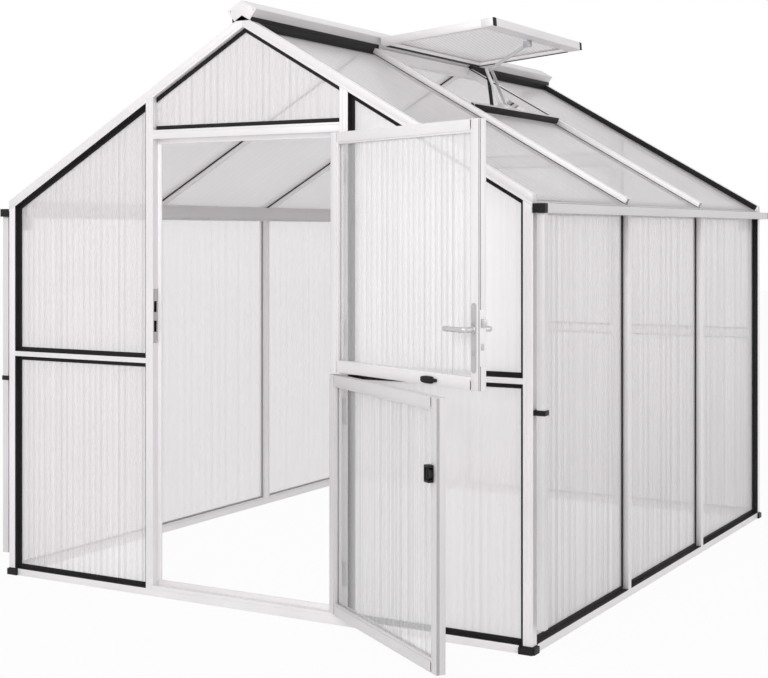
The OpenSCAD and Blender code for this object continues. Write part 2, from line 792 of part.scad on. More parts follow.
module side_panels() {
    color("lavender") place() both_sides() for (k = [0 : bay_count - 1])
        on_side(panel_recess, panel_recess + panel_t)
            translate([bay_y0(k) + panel_gap, base_h + panel_gap])
                square([bay_y1(k) - bay_y0(k) - 2 * panel_gap, eave_bottom - base_h - 2 * panel_gap]);
}

// The right slope's vented bay is glazed only below the vent sill
function roof_s0(k, right) = (right && k == vent_bay) ? vent_sill_s + vent_sill_w : ridge_beam_s;
module roof_side(right) {
    for (k = [0 : bay_count - 1]) {
        s0 = roof_s0(k, right) + panel_gap;
        on_slope() box(s0, panel_end_s, bay_y0(k) + panel_gap, bay_y1(k) - panel_gap,
            -panel_recess - panel_t, -panel_recess);
    }
}

module roof_panels() {
    color("gainsboro") place() {
        roof_side(true);
        mirror([1, 0, 0]) roof_side(false);
    }
}

// Strip on the panel all round an opening, and its lining of the opening's sides
module strip_ring(b) {
    on_front(panel_recess - strip_t, panel_recess) difference() {
        polygon(gable_bay(b, strip_t));
        polygon(gable_bay(b, strip_w));
    }
    on_front(0, panel_recess) difference() {
        polygon(gable_bay(b, 0));
        polygon(gable_bay(b, strip_t));
    }
}

// Strip along the lintel and the rafters of the gable opening
module gable_strip() {
    b = gable_top_bay;
    on_front(panel_recess - strip_t, panel_recess) difference() {
        polygon(gable_bay(b, 0));
        polygon([[b[0] - cut, b[2] + strip_w], [b[1] + cut, b[2] + strip_w],
            [b[1] + cut, slope_top(b[1] + cut, strip_w)], [0, slope_top(0, strip_w)],
            [b[0] - cut, slope_top(b[0] - cut, strip_w)]]);
    }
}

module gable_wall_strips() {
    color("dimgray") place() {
        for (b = wing_bays) strip_ring(b);
        gable_strip();
        translate([0, house_d, 0]) mirror([0, 1, 0]) {
            for (b = concat(wing_bays, back_mid_bays)) strip_ring(b);
            gable_strip();
        }
    }
}

module side_strip(k) {
    y0 = bay_y0(k);
    y1 = bay_y1(k);
    on_side(panel_recess - strip_t, panel_recess) difference() {
        translate([y0, base_h]) square([y1 - y0, eave_bottom - base_h]);
        translate([y0 + strip_w, base_h + strip_w]) square([y1 - y0 - 2 * strip_w, eave_bottom]);
    }
    on_side(0, panel_recess - strip_t) translate([y0, base_h]) square([y1 - y0, strip_t]);
    if (k == 0)
        on_side(0, panel_recess - strip_t) translate([y0, base_h + strip_t])
            square([strip_t, eave_bottom - base_h - strip_t]);
    if (k == bay_count - 1)
        on_side(0, panel_recess - strip_t) translate([y1 - strip_t, base_h + strip_t])
            square([strip_t, eave_bottom - base_h - strip_t]);
}

module side_wall_strips() {
    color("dimgray") place() both_sides() for (k = [0 : bay_count - 1]) side_strip(k);
}

// Strips on the roof panels: wide below the ridge and along the rafters, narrow beside the bars
module roof_strip(k, right) {
    s0 = roof_s0(k, right);
    y0 = bay_y0(k);
    y1 = bay_y1(k);
    w0 = k == 0 ? strip_w : roof_strip_w;
    w1 = k == bay_count - 1 ? strip_w : roof_strip_w;
    vented = right && k == vent_bay;
    on_slope() {
        difference() {
            box(s0, bar_end_s, y0, y1, -panel_recess, strip_t - panel_recess);
            box(s0 + (vented ? -cut : strip_w), bar_end_s + cut, y0 + w0, y1 - w1,
                -panel_recess - cut, strip_t - panel_recess + cut);
        }
        if (k == 0)
            box(s0, bar_end_s, y0, y0 + strip_t, strip_t - panel_recess, 0);
        if (k == bay_count - 1)
            box(s0, bar_end_s, y1 - strip_t, y1, strip_t - panel_recess, 0);
        if (!vented)
            box(s0, s0 + strip_t, y0 + strip_t, y1 - strip_t, strip_t - panel_recess, 0);
    }
}

module vent_opening_strips() {
    s1 = vent_sill_s + vent_sill_w;
    on_slope() {
        box(s1 - strip_t - cut, s1, vent_y0, vent_y1, 4 - panel_recess, sill_top_h);
        for (y = [vent_y0, vent_y1 - strip_t])
            box(ridge_beam_s, vent_sill_s, y, y + strip_t, -side_seal_h, 0);
    }
}

// Rubber wedge along the foot of the ridge cap, against its hollow flank
module cap_seal(y0, y1) {
    in_x = cap_foot + 2 * joint_gap;
    top_x = in_x + seal_h * (cap_half - cap_foot) / (cap_lip_z - cap_foot_z);
    out_x = slope_x(ridge_beam_s + strip_t, 0);
    run_y(y0, y1) polygon([[in_x, cap_foot_z], [top_x, cap_foot_z + seal_h],
        [top_x + strip_t, cap_foot_z + seal_h - strip_t], [out_x, roof_z(out_x) + joint_gap]]);
}

// Inner seals of the roof panels: one beside each bar and one above the eave rail
module inner_seal(k, right) {
    s0 = roof_s0(k, right) + bead_w;
    s1 = inner_end_s - bar_round - bead_w;
    y0 = bay_y0(k) + bead_w;
    y1 = bay_y1(k) - bead_w;
    h0 = -panel_recess - panel_t - inner_seal_t;
    on_slope() {
        box(s0, s1, y1 - inner_seal_w, y1, h0, h0 + inner_seal_t);
        box(s1 - inner_seal_w, s1, y0, y1 - inner_seal_w, h0, h0 + inner_seal_t);
    }
}

module roof_strips() {
    color("dimgray") place() {
        for (k = [0 : bay_count - 1]) {
            roof_strip(k, true);
            inner_seal(k, true);
            mirror([1, 0, 0]) {
                roof_strip(k, false);
                inner_seal(k, false);
            }
        }
        vent_opening_strips();
        cap_seal(-cap_over, vent_y0);
        cap_seal(vent_y1, house_d + cap_over);
        mirror([1, 0, 0]) cap_seal(-cap_over, house_d + cap_over);
    }
}

module bead_ring(b) {
    on_front(panel_recess + panel_t, profile_d) difference() {
        polygon(gable_bay(b, 0));
        polygon(gable_bay(b, bead_w));
    }
}

module wall_beads() {
    color("white") place() {
        for (b = front_bays) bead_ring(b);
        translate([0, house_d, 0]) mirror([0, 1, 0]) for (b = back_bays) bead_ring(b);
        both_sides() for (k = [0 : bay_count - 1])
            on_side(panel_recess + panel_t, profile_d) difference() {
                translate([bay_y0(k), base_h])
                    square([bay_y1(k) - bay_y0(k), eave_bottom - base_h]);
                translate([bay_y0(k) + bead_w, base_h + bead_w])
                    square([bay_y1(k) - bay_y0(k) - 2 * bead_w, eave_bottom - base_h - 2 * bead_w]);
            }
    }
}

module roof_bead(k, right) {
    s0 = roof_s0(k, right);
    on_slope() difference() {
        box(s0, inner_end_s - bar_round, bay_y0(k), bay_y1(k), -profile_d, -panel_recess - panel_t);
        box(s0 + bead_w, inner_end_s - bar_round - bead_w, bay_y0(k) + bead_w, bay_y1(k) - bead_w,
            -profile_d - cut, -panel_recess - panel_t + cut);
    }
}

module roof_beads() {
    color("white") place() for (k = [0 : bay_count - 1]) {
        roof_bead(k, true);
        mirror([1, 0, 0]) roof_bead(k, false);
    }
}

gutter_top = eave_h - gutter_drop;
gutter_bottom = gutter_top - gutter_h;
pipe_x0 = half_w + 12;
pipe_y0 = 8;
gutter_y0 = gutter_cap_l - cap_over;
module gutter_trough(y0, y1) {
    difference() {
        box(half_w, half_w + gutter_w, y0, y1, gutter_bottom, gutter_top);
        box(half_w + gutter_wall, half_w + gutter_w - gutter_wall, y0 - cut, y1 + cut,
            gutter_bottom + gutter_wall, gutter_top + cut);
        pipe_hole();
    }
}

module pipe_hole() {
    box(pipe_x0 + gutter_wall, pipe_x0 + pipe_w - gutter_wall, pipe_y0 + gutter_wall,
        pipe_y0 + pipe_d - gutter_wall, pipe_end_z - cut, gutter_bottom + gutter_wall + cut);
}

module gutters() {
    color("gainsboro") place() both_sides() gutter_trough(gutter_y0, house_d - gutter_y0);
}

module gutter_end_caps() {
    color("dimgray") place() both_sides() {
        gutter_trough(-cap_over, gutter_y0);
        box(half_w, half_w + gutter_w, -cap_over, gutter_wall - cap_over, gutter_bottom, gutter_top);
        translate([0, house_d, 0]) mirror([0, 1, 0]) difference() {
            box(half_w, half_w + gutter_w, -cap_over, gutter_y0, gutter_bottom, gutter_top);
            box(half_w + gutter_wall, half_w + gutter_w - gutter_wall, gutter_wall - cap_over,
                gutter_y0 + cut, gutter_bottom + gutter_wall, gutter_top + cut);
        }
    }
}

module downpipes() {
    color("gainsboro") place() both_sides() difference() {
        box(pipe_x0, pipe_x0 + pipe_w, pipe_y0, pipe_y0 + pipe_d, pipe_end_z, gutter_bottom);
        pipe_hole();
    }
}

clip_h = 18;
clip_wall = 3;
module downpipe_clips() {
    color("dimgray") place() both_sides() difference() {
        box(half_w, pipe_x0 + pipe_w + clip_wall, pipe_y0 - clip_wall,
            pipe_y0 + pipe_d + clip_wall, clip_z, clip_z + clip_h);
        box(pipe_x0, pipe_x0 + pipe_w, pipe_y0, pipe_y0 + pipe_d, clip_z - cut, clip_z + clip_h + cut);
    }
}

// One knuckle of a hinge, from its own start to its end
module knuckle(z0, z1) {
    translate([hinge_x, hinge_y, z0]) cylinder(r = knuckle_r, h = z1 - z0);
}

module hinge_bore(z) {
    translate([hinge_x, hinge_y, z - cut])
        cylinder(r = hinge_pin_r + run_gap, h = hinge_h + 2 * cut);
}

wing_t = 3;
wing_l = 32;
module post_hinges() {
    color("silver") place() for (z = hinge_zs) difference() {
        union() {
            for (part = [0, 2]) {
                z0 = z + part * (knuckle_part + leaf_lip_gap);
                knuckle(z0, z0 + knuckle_part);
                box(hinge_x, hinge_x + knuckle_r, hinge_y, 0, z0, z0 + knuckle_part);
            }
            box(hinge_x + 1, hinge_x + wing_l, -wing_t, 0, z, z + hinge_h);
        }
        hinge_bore(z);
        // Room for the leaf's own knuckle to turn
        translate([hinge_x, hinge_y, z + knuckle_part])
            cylinder(r = knuckle_r + 1, h = knuckle_part + 2 * leaf_lip_gap);
    }
}

module hinge_pins() {
    color("gray") place() for (z = hinge_zs) translate([hinge_x, hinge_y, z]) {
        cylinder(r = hinge_pin_r, h = hinge_h);
        translate([0, 0, hinge_h]) cylinder(r = knuckle_r - 1, h = 2);
    }
}

strike_t = 2;
strike_below = 52;
strike_above = 84;
module strike_plate() {
    color("silver") place() difference() {
        box(-door_in, strike_t - door_in, 2, stop_y0 - 2, key_z - strike_below, lever_z + strike_above);
        for (slot = strike_slots)
            box(-door_in - cut, strike_t - door_in + cut, strike_y0, strike_y1,
                slot[0], slot[0] + slot[1]);
    }
}

// Turns pieces drawn on a closed leaf to where the open leaf stands
module on_leaf(angle) {
    place() translate([hinge_x, hinge_y, 0]) rotate([0, 0, angle])
        translate([-hinge_x, -hinge_y, 0]) children();
}

module on_upper() {
    on_leaf(upper_open) children();
}

module on_lower() {
    on_leaf(lower_open) children();
}

// Section of a leaf frame: hollow, with a groove for the panel in its inner edge.
// Local x runs from the outer edge to the panel, local y from the outer face inwards.
module leaf_section() {
    slot_w = panel_t + 2 * panel_gap;
    difference() {
        square([stile_w, leaf_t]);
        translate([profile_wall, profile_wall])
            square([stile_w - groove_d - 3 * profile_wall, leaf_t - 2 * profile_wall]);
        translate([stile_w - groove_d - profile_wall / 2, leaf_panel_y0 - leaf_y0 - panel_gap])
            square([groove_d + profile_wall, slot_w]);
        // Both faces step down beside the panel
        for (y = [-cut, leaf_t - leaf_step])
            translate([stile_w - leaf_step_w, y]) square([leaf_step_w + cut, leaf_step + cut]);
    }
}

// The two stiles and two rails of a leaf between two heights
module leaf_frame(z0, z1) {
    translate([leaf_x0, leaf_y0, z0]) linear_extrude(z1 - z0) leaf_section();
    translate([leaf_x1, leaf_y0, z0]) mirror([1, 0, 0]) linear_extrude(z1 - z0) leaf_section();
    rail_l = leaf_w - 2 * stile_w - 2 * joint_gap;
    translate([window_x1 - joint_gap, leaf_y0, z0]) rotate([0, -90, 0])
        linear_extrude(rail_l) leaf_section();
    translate([window_x0 + joint_gap, leaf_y0, z1]) rotate([0, 90, 0])
        linear_extrude(rail_l) leaf_section();
}

module leaf_panel(z0, z1) {
    box(window_x0 - groove_d, window_x1 + groove_d, leaf_panel_y0, leaf_panel_y0 + panel_t,
        z0 + stile_w - groove_d, z1 - stile_w + groove_d);
}

// Leaf side of a hinge: a plate on the outer face and the middle knuckle
module leaf_hinge(z) {
    neck_l = 6;
    k0 = z + knuckle_part + leaf_lip_gap;
    difference() {
        union() {
            knuckle(k0, k0 + knuckle_part);
            box(leaf_x1 - neck_l, hinge_x, hinge_y, leaf_y0, k0, k0 + knuckle_part);
            box(leaf_x1 - wing_l, leaf_x1 - neck_l, leaf_y0 - wing_t, leaf_y0, z, z + hinge_h);
        }
        hinge_bore(z);
    }
}

module upper_leaf_frame() {
    color("whitesmoke") on_upper() difference() {
        leaf_frame(upper_z0, upper_z1);
        // Holes for the spindle, the key cylinder and the two bolts
        pin_y([spindle_x, lever_z], spindle_r + 1, leaf_y0 - cut, leaf_y1 + cut);
        pin_y([spindle_x, key_z], key_r + 1, leaf_y0 - cut, leaf_y1 + cut);
        bolt_slot(latch_z0, latch_h);
        bolt_slot(deadbolt_z0, deadbolt_h);
    }
}

module bolt_slot(z0, h) {
    box(leaf_x0 - 5, cavity_x1 - 1, bolt_y0 - slot_gap, bolt_y0 + bolt_t + slot_gap,
        z0 - slot_gap, z0 + h + slot_gap);
}

module upper_leaf_panel() {
    color("lavender") on_upper() leaf_panel(upper_z0, upper_z1);
}

module upper_leaf_hinges() {
    color("silver") on_upper() for (z = upper_hinges) leaf_hinge(z);
}

module handle_plate(y0) {
    r = plate_w / 2;
    difference() {
        union() {
            box(spindle_x - r, spindle_x + r, y0, y0 + plate_t, plate_z + r, plate_z + plate_h - r);
            for (z = [plate_z + r, plate_z + plate_h - r])
                pin_y([spindle_x, z], r, y0, y0 + plate_t);
        }
        pin_y([spindle_x, lever_z], spindle_r + run_gap, y0 - cut, y0 + plate_t + cut);
        pin_y([spindle_x, key_z], key_r + run_gap, y0 - cut, y0 + plate_t + cut);
    }
}

module handle_plates() {
    color("silver") on_upper() {
        handle_plate(leaf_y0 - plate_t);
        handle_plate(leaf_y1);
    }
}

case_y0 = 2;
case_y1 = 26;
faceplate_t = 2;
module lock_case() {
    case_x0 = leaf_x0 + profile_wall;
    color("gray") on_upper() difference() {
        union() {
            box(case_x0, cavity_x1, case_y0, case_y1, key_z - 24, latch_z0 + latch_h + 14);
            box(leaf_x0 - faceplate_t, leaf_x0, case_y0, case_y1, key_z - 40, latch_z0 + latch_h + 30);
        }
        pin_y([spindle_x, lever_z], spindle_r + 1, case_y0 - cut, case_y1 + cut);
        pin_y([spindle_x, key_z], key_r + 1, case_y0 - cut, case_y1 + cut);
        bolt_slot(latch_z0, latch_h);
        bolt_slot(deadbolt_z0, deadbolt_h);
    }
}

// A lever: neck, round bar towards the hinge side and a ball end
module lever(face, dir) {
    bar_y = face + dir * lever_out;
    neck_end = dir > 0 ? bar_y : face;
    neck_start = dir > 0 ? face : bar_y;
    pin_y([spindle_x, lever_z], spindle_r + 2, neck_start + (dir > 0 ? joint_gap : 0),
        neck_end - (dir > 0 ? 0 : joint_gap));
    translate([spindle_x, bar_y, lever_z]) rotate([0, 90, 0])
        cylinder(r = lever_r, h = lever_l - lever_r);
    translate([spindle_x, bar_y, lever_z]) sphere(r = lever_r);
    translate([spindle_x + lever_l - lever_r, bar_y, lever_z]) sphere(r = lever_r);
}

module lever_handles() {
    color("silver") on_upper() {
        pin_y([spindle_x, lever_z], spindle_r, leaf_y0 - plate_t - 5, leaf_y1 + plate_t + 5);
        lever(leaf_y1 + plate_t, 1);
        lever(leaf_y0 - plate_t, -1);
    }
}

module latch_bolt() {
    color("silver") on_upper() difference() {
        box(leaf_x0 - latch_out, latch_back, bolt_y0, bolt_y0 + bolt_t, latch_z0, latch_z0 + latch_h);
        // The tongue is slanted on the side that meets the strike plate first
        translate([leaf_x0 - latch_out, bolt_y0 + bolt_t / 4, latch_z0 - cut])
            rotate([0, 0, atan(0.75 * bolt_t / latch_out)])
                cube([latch_out * 2, bolt_t, latch_h + 2 * cut]);
    }
}

module deadbolt() {
    color("silver") on_upper() box(leaf_x0 - faceplate_t, deadbolt_back, bolt_y0, bolt_y0 + bolt_t,
        deadbolt_z0, deadbolt_z0 + deadbolt_h);
}

module key_cylinder() {
    color("gray") on_upper() difference() {
        pin_y([spindle_x, key_z], key_r, leaf_y0 - plate_t - 2, leaf_y1 + plate_t + 2);
        for (y = [leaf_y0 - plate_t - 3, leaf_y1 + plate_t - 4])
            box(spindle_x - 0.75, spindle_x + 0.75, y, y + 7, key_z - 4, key_z + 4);
    }
}

module turn_button() {
    nose_in = 2;
    nose_l = 8;
    nose_t = 7;
    nose_half = 8;
    r = button_w / 2;
    pivot_x = leaf_x1 - button_u;
    y0 = leaf_y1 + joint_gap;
    color("dimgray") on_upper() {
        pin_y([pivot_x, button_z], pivot_head_r, y0 + button_t, y0 + button_t + pivot_head_h);
        box(pivot_x - button_l / 2 + r, pivot_x + button_l / 2 - r, y0, y0 + button_t,
            button_z - r, button_z + r);
        for (side = [-1, 1])
            pin_y([pivot_x + side * (button_l / 2 - r), button_z], r, y0, y0 + button_t);
        box(pivot_x - button_l / 2 + nose_in, pivot_x - button_l / 2 + nose_in + nose_l,
            y0 + button_t, y0 + button_t + nose_t, button_z - nose_half, button_z + nose_half);
    }
}

module lower_leaf_frame() {
    color("whitesmoke") on_lower() leaf_frame(leaf_z0, lower_top);
}

module lower_leaf_panel() {
    color("lavender") on_lower() leaf_panel(leaf_z0, lower_top);
}

module lower_leaf_hinges() {
    color("silver") on_lower() for (z = lower_hinges) leaf_hinge(z);
}

// Catch of the lower leaf: a U-shaped housing whose slide hooks behind the stop flange
module catch_housing() {
    x1 = catch_x0 + catch_w;
    y1 = leaf_y1 + catch_d;
    color("dimgray") on_lower() {
        box(catch_x0, x1, leaf_y1, leaf_y1 + 4, catch_z, catch_z + catch_h);
        box(catch_x0, x1, leaf_y1 + 4, y1, catch_z, catch_z + catch_arm);
        box(catch_x0, x1, leaf_y1 + 4, y1, catch_z + catch_h - catch_arm, catch_z + catch_h);
        box(x1 - 5, x1, leaf_y1 + 4, y1, catch_z + catch_arm, catch_z + catch_h - catch_arm);
    }
}

module catch_slide() {
    z0 = catch_z + catch_arm + slot_gap;
    z1 = catch_z + catch_h - catch_arm - slot_gap;
    color("black") on_lower() {
        box(catch_x0 - slide_hook, catch_x0 + 17, slide_y0, slide_y1, z0, z1);
        box(catch_x0 + 4, catch_x0 + 14, leaf_y1 + 4 + slot_gap, slide_y0, z0 + 4, z1 - 4);
        box(catch_x0 + 10, catch_x0 + 17, slide_y1, leaf_y1 + catch_d, z0 + 6, z1 - 6);
    }
}

// Local x runs along the lid from its hinge, local z stands square to it
module on_lid() {
    place() translate([vent_x, 0, vent_z]) rotate([0, -vent_lift, 0]) children();
}

lid_groove = panel_t + 2 * panel_gap;
module lid_groove_cut() {
    box(lid_start + vent_rail_w - groove_d, lid_edge + groove_d, lid_rail_y0 + vent_rail_w - groove_d,
        lid_rail_y1 - vent_rail_w + groove_d, -lid_groove / 2, lid_groove / 2);
}

module vent_frame() {
    w = profile_wall;
    e1 = lid_start + vent_rail_w;
    y0 = lid_rail_y0 + vent_rail_w + joint_gap;
    y1 = lid_rail_y1 - vent_rail_w - joint_gap;
    color("whitesmoke") on_lid() difference() {
        union() {
            for (y = [lid_rail_y0, lid_rail_y1 - vent_rail_w]) difference() {
                box(lid_start, lid_edge - joint_gap, y, y + vent_rail_w, -lid_half, lid_half);
                box(lid_start + w, lid_edge + cut, y + w, y + vent_rail_w - w,
                    w - lid_half, lid_half - w);
            }
            tube_y(lid_start, e1, y0, y1, -lid_half, lid_half);
            box(bead_r / 2, lid_start + cut, vent_y0 + channel_inset + 1,
                vent_y1 - channel_inset - 1, -neck_t / 2, neck_t / 2);
            pin_y([0, 0], bead_r, vent_y0 + channel_inset + 1, vent_y1 - channel_inset - 1);
            difference() {
                box(lid_edge, vent_len - vent_nose, lid_y0, lid_y1, -lid_half, lid_half);
                box(lid_edge + w, vent_len - vent_nose - w, lid_y0 + w, lid_y1 - w,
                    w - lid_half, lid_half - w);
            }
            box(vent_len - vent_nose - 0.01, vent_len, lid_y0 + vent_cap_l, lid_y1 - vent_cap_l,
                -lid_half, lid_half);
        }
        lid_groove_cut();
    }
}

module vent_panel() {
    color("lavender") on_lid() box(lid_start + vent_rail_w - groove_d + panel_gap,
        lid_edge + groove_d - panel_gap, lid_rail_y0 + vent_rail_w - groove_d + panel_gap,
        lid_rail_y1 - vent_rail_w + groove_d - panel_gap, -panel_t / 2, panel_t / 2);
}

module vent_rubber_trim() {
    color("dimgray") on_lid() {
        for (y = [lid_y0, lid_y1 - vent_cap_l])
            box(vent_len - vent_nose, vent_len, y, y + vent_cap_l, -lid_half, lid_half);
        box(lid_start + 4, lid_start + vent_rail_w - 4, lid_rail_y0 + vent_rail_w + 4,
            lid_rail_y1 - vent_rail_w - 4, -lid_half - strip_t, -lid_half);
        box(lid_start + 4, lid_edge - 4, lid_rail_y1 - vent_rail_w + 6, lid_rail_y1 - 6,
            -lid_half - strip_t, -lid_half);
    }
}

module vent_stay_bracket() {
    e1 = lid_edge + 11;
    n0 = -lid_half - stay_drop - link_r - 1;
    color("silver") on_lid() translate([0, vent_mid, 0]) {
        for (side = [-1, 1]) {
            y0 = side > 0 ? arm_half + ear_gap : -arm_half - ear_gap - ear_t;
            box(stay_lid_e - 10, e1, y0, y0 + ear_t, n0, -lid_half);
        }
        pin_y([stay_lid_e, -lid_half - stay_drop], stay_pin_r, -arm_half - ear_gap - ear_t,
            arm_half + ear_gap + ear_t);
    }
}

module stay_arm() {
    color("silver") place() translate([0, vent_mid, 0]) difference() {
        link(lid_pivot, knee, link_r, -arm_half, arm_half);
        pin_y(lid_pivot, stay_pin_r + run_gap, -arm_half - cut, arm_half + cut);
    }
}

module stay_struts() {
    color("silver") place() translate([0, vent_mid, 0]) both_hands()
        difference() {
            union() {
                link(knee, foot_pivot, link_r, strut_y, strut_y + strut_t);
                pin_y(knee, stay_pin_r + 2, arm_half + ear_gap, strut_y + cut);
            }
            pin_y(foot_pivot, stay_pin_r + run_gap, strut_y - cut, strut_y + strut_t + cut);
        }
}

// The opener hangs beside the near strut and turns with it
module opener_cylinder() {
    start = 20;
    color("black") place() translate([knee[0], vent_mid - opener_y, knee[1]])
        rotate([0, 180 - opener_tilt, 0]) {
            translate([0, 0, start]) cylinder(r = opener_r, h = opener_l);
            box(-opener_r - 6, opener_r - 2, -strut_y + opener_y, -opener_r + 3, start + 6, start + 26);
        }
}

base_rails();
base_corners();
door_sill();
corner_posts();
door_posts();
front_rails();
back_posts();
back_rails();
side_bars();
eave_rails();
gable_rafters();
roof_bars();
ridge_beam();
ridge_cap();
ridge_end_plates();
vent_sill();
vent_hinge_channel();
stay_foot_bracket();
corner_brackets();
frame_bolts();
front_panels();
back_panels();
side_panels();
roof_panels();
gable_wall_strips();
side_wall_strips();
roof_strips();
wall_beads();
roof_beads();
gutters();
gutter_end_caps();
downpipes();
downpipe_clips();
post_hinges();
hinge_pins();
strike_plate();
upper_leaf_frame();
upper_leaf_panel();
upper_leaf_hinges();
handle_plates();
lock_case();
lever_handles();
latch_bolt();
deadbolt();
key_cylinder();
turn_button();
lower_leaf_frame();
lower_leaf_panel();
lower_leaf_hinges();
catch_housing();
catch_slide();
vent_frame();
vent_panel();
vent_rubber_trim();
vent_stay_bracket();
stay_arm();
stay_struts();
opener_cylinder();
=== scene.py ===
import bpy
import json
from math import pi, radians
from mathutils import Matrix, Vector


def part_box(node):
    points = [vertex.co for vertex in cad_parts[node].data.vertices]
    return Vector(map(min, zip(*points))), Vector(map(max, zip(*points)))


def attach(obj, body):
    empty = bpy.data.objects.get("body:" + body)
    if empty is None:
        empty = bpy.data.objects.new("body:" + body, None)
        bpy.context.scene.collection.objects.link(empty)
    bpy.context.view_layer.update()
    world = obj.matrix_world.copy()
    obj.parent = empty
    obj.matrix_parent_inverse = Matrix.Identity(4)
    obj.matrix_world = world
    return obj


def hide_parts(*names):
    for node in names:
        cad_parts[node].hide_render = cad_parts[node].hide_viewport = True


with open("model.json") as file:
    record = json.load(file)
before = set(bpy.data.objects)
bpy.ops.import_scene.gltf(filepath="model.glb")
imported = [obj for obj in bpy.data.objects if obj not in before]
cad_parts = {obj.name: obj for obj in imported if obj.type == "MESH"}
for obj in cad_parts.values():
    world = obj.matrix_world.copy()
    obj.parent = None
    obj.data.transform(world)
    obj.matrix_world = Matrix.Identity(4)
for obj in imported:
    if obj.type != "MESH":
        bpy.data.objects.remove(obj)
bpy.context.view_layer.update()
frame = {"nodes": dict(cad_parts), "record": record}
bpy.ops.object.select_all(action="DESELECT")

# Camera
# The photograph was taken from in front and to the right of the door wall,
# with a level camera at about chest height and the frame shifted for the roof.
end_plate_stands_out = 0.005
wall_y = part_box("ridge_end_plates")[0].y + end_plate_stands_out
camera_right, camera_before_wall, camera_up = 3.1833, 4.4829, 1.4106
camera_heading = radians(29.863)
camera_data = bpy.data.cameras.new("studio_camera")
camera_data.lens = 68.69
camera_data.sensor_width = 36
camera_data.shift_y = -0.1384
camera = bpy.data.objects.new("studio_camera", camera_data)
camera.location = (camera_right, wall_y - camera_before_wall, camera_up)
camera.rotation_euler = (radians(90), 0, camera_heading)
bpy.context.scene.collection.objects.link(camera)
bpy.context.scene.camera = camera


# Studio light
# A pale room that lights the house evenly from all round, with three broad
# soft lamps: one before the door side, one to the right and one at the back.
def maths(tree, operation, *values):
    """One Math node, fed with numbers or with the results of other nodes."""
    node = tree.nodes.new("ShaderNodeMath")
    node.operation = operation
    for socket, value in zip(node.inputs, values):
        if isinstance(value, (int, float)):
            socket.default_value = value
        else:
            tree.links.new(value, socket)
    return node.outputs[0]


def seen_by_eye(tree):
    """One for rays that the camera sees directly, in a reflection or through a pane."""
    path = tree.nodes.new("ShaderNodeLightPath")
    seen = maths(tree, "MAXIMUM", path.outputs["Is Camera Ray"], path.outputs["Is Glossy Ray"])
    return maths(tree, "MAXIMUM", seen, path.outputs["Is Transmission Ray"])


def softbox(name, place, aim, size, watts):
    """A square lamp that faces the point it is aimed at."""
    data = bpy.data.lights.new(name, "AREA")
    data.shape = "SQUARE"
    data.size = size
    data.energy = watts
    lamp = bpy.data.objects.new(name, data)
    lamp.location = place
    lamp.rotation_euler = (Vector(aim) - Vector(place)).to_track_quat("-Z", "Y").to_euler()
    scene.collection.objects.link(lamp)


room_tint = (1.0, 0.985, 0.99, 1)
room_low, room_high = 0.84, 0.55
scene = bpy.context.scene
scene.view_settings.view_transform = "Standard"
world = bpy.data.worlds.new("pale_studio")
scene.world = world
world.use_nodes = True
tree = world.node_tree
tree.nodes.clear()
room = tree.nodes.new("ShaderNodeBackground")
room.inputs["Color"].default_value = room_tint
direction = tree.nodes.new("ShaderNodeTexCoord")
height = tree.nodes.new("ShaderNodeSeparateXYZ")
tree.links.new(direction.outputs["Generated"], height.inputs[0])
dim_above = tree.nodes.new("ShaderNodeMapRange")
dim_above.inputs["To Min"].default_value = room_low
dim_above.inputs["To Max"].default_value = room_high
tree.links.new(height.outputs["Z"], dim_above.inputs["Value"])
tree.links.new(dim_above.outputs["Result"], room.inputs["Strength"])
backdrop = tree.nodes.new("ShaderNodeBackground")
backdrop.inputs["Color"].default_value = (1, 1, 1, 1)
backdrop.inputs["Strength"].default_value = 1.0
blend = tree.nodes.new("ShaderNodeMixShader")
tree.links.new(seen_by_eye(tree), blend.inputs["Fac"])
tree.links.new(room.outputs[0], blend.inputs[1])
tree.links.new(backdrop.outputs[0], blend.inputs[2])
world_out = tree.nodes.new("ShaderNodeOutputWorld")
tree.links.new(blend.outputs[0], world_out.inputs["Surface"])
softbox("door_side_lamp", place=(1.0, -8.0, 4.2), aim=(0.6, -1.0, 1.4), size=4.5, watts=190)
softbox("right_side_lamp", place=(8.5, -0.5, 3.4), aim=(0, 0, 1.0), size=4.0, watts=56)
softbox("rear_top_lamp", place=(-2.5, 4.0, 6.5), aim=(0, 0, 1.0), size=4.0, watts=35)

# Floor
# A plain white studio floor that runs out of the picture. It keeps a faint
# shadow of the house under the base rails.
floor_size = 60
paper_tint = (0.93, 0.93, 0.94, 1)
glow_share = 0.93
bpy.ops.mesh.primitive_plane_add(size=floor_size, location=(0, 0, 0))
floor = bpy.context.object
floor.name = "studio_floor"
floor_finish = bpy.data.materials.new("white_floor")
floor_finish.use_nodes = True
tree = floor_finish.node_tree
tree.nodes.clear()
paper = tree.nodes.new("ShaderNodeBsdfDiffuse")
paper.inputs["Color"].default_value = paper_tint
glow = tree.nodes.new("ShaderNodeEmission")
glow.inputs["Strength"].default_value = 1.0
blend = tree.nodes.new("ShaderNodeMixShader")
tree.links.new(maths(tree, "MULTIPLY", seen_by_eye(tree), glow_share), blend.inputs["Fac"])
tree.links.new(paper.outputs[0], blend.inputs[1])
tree.links.new(glow.outputs[0], blend.inputs[2])
floor_out = tree.nodes.new("ShaderNodeOutputMaterial")
tree.links.new(blend.outputs[0], floor_out.inputs["Surface"])
floor.data.materials.append(floor_finish)
floor.select_set(False)


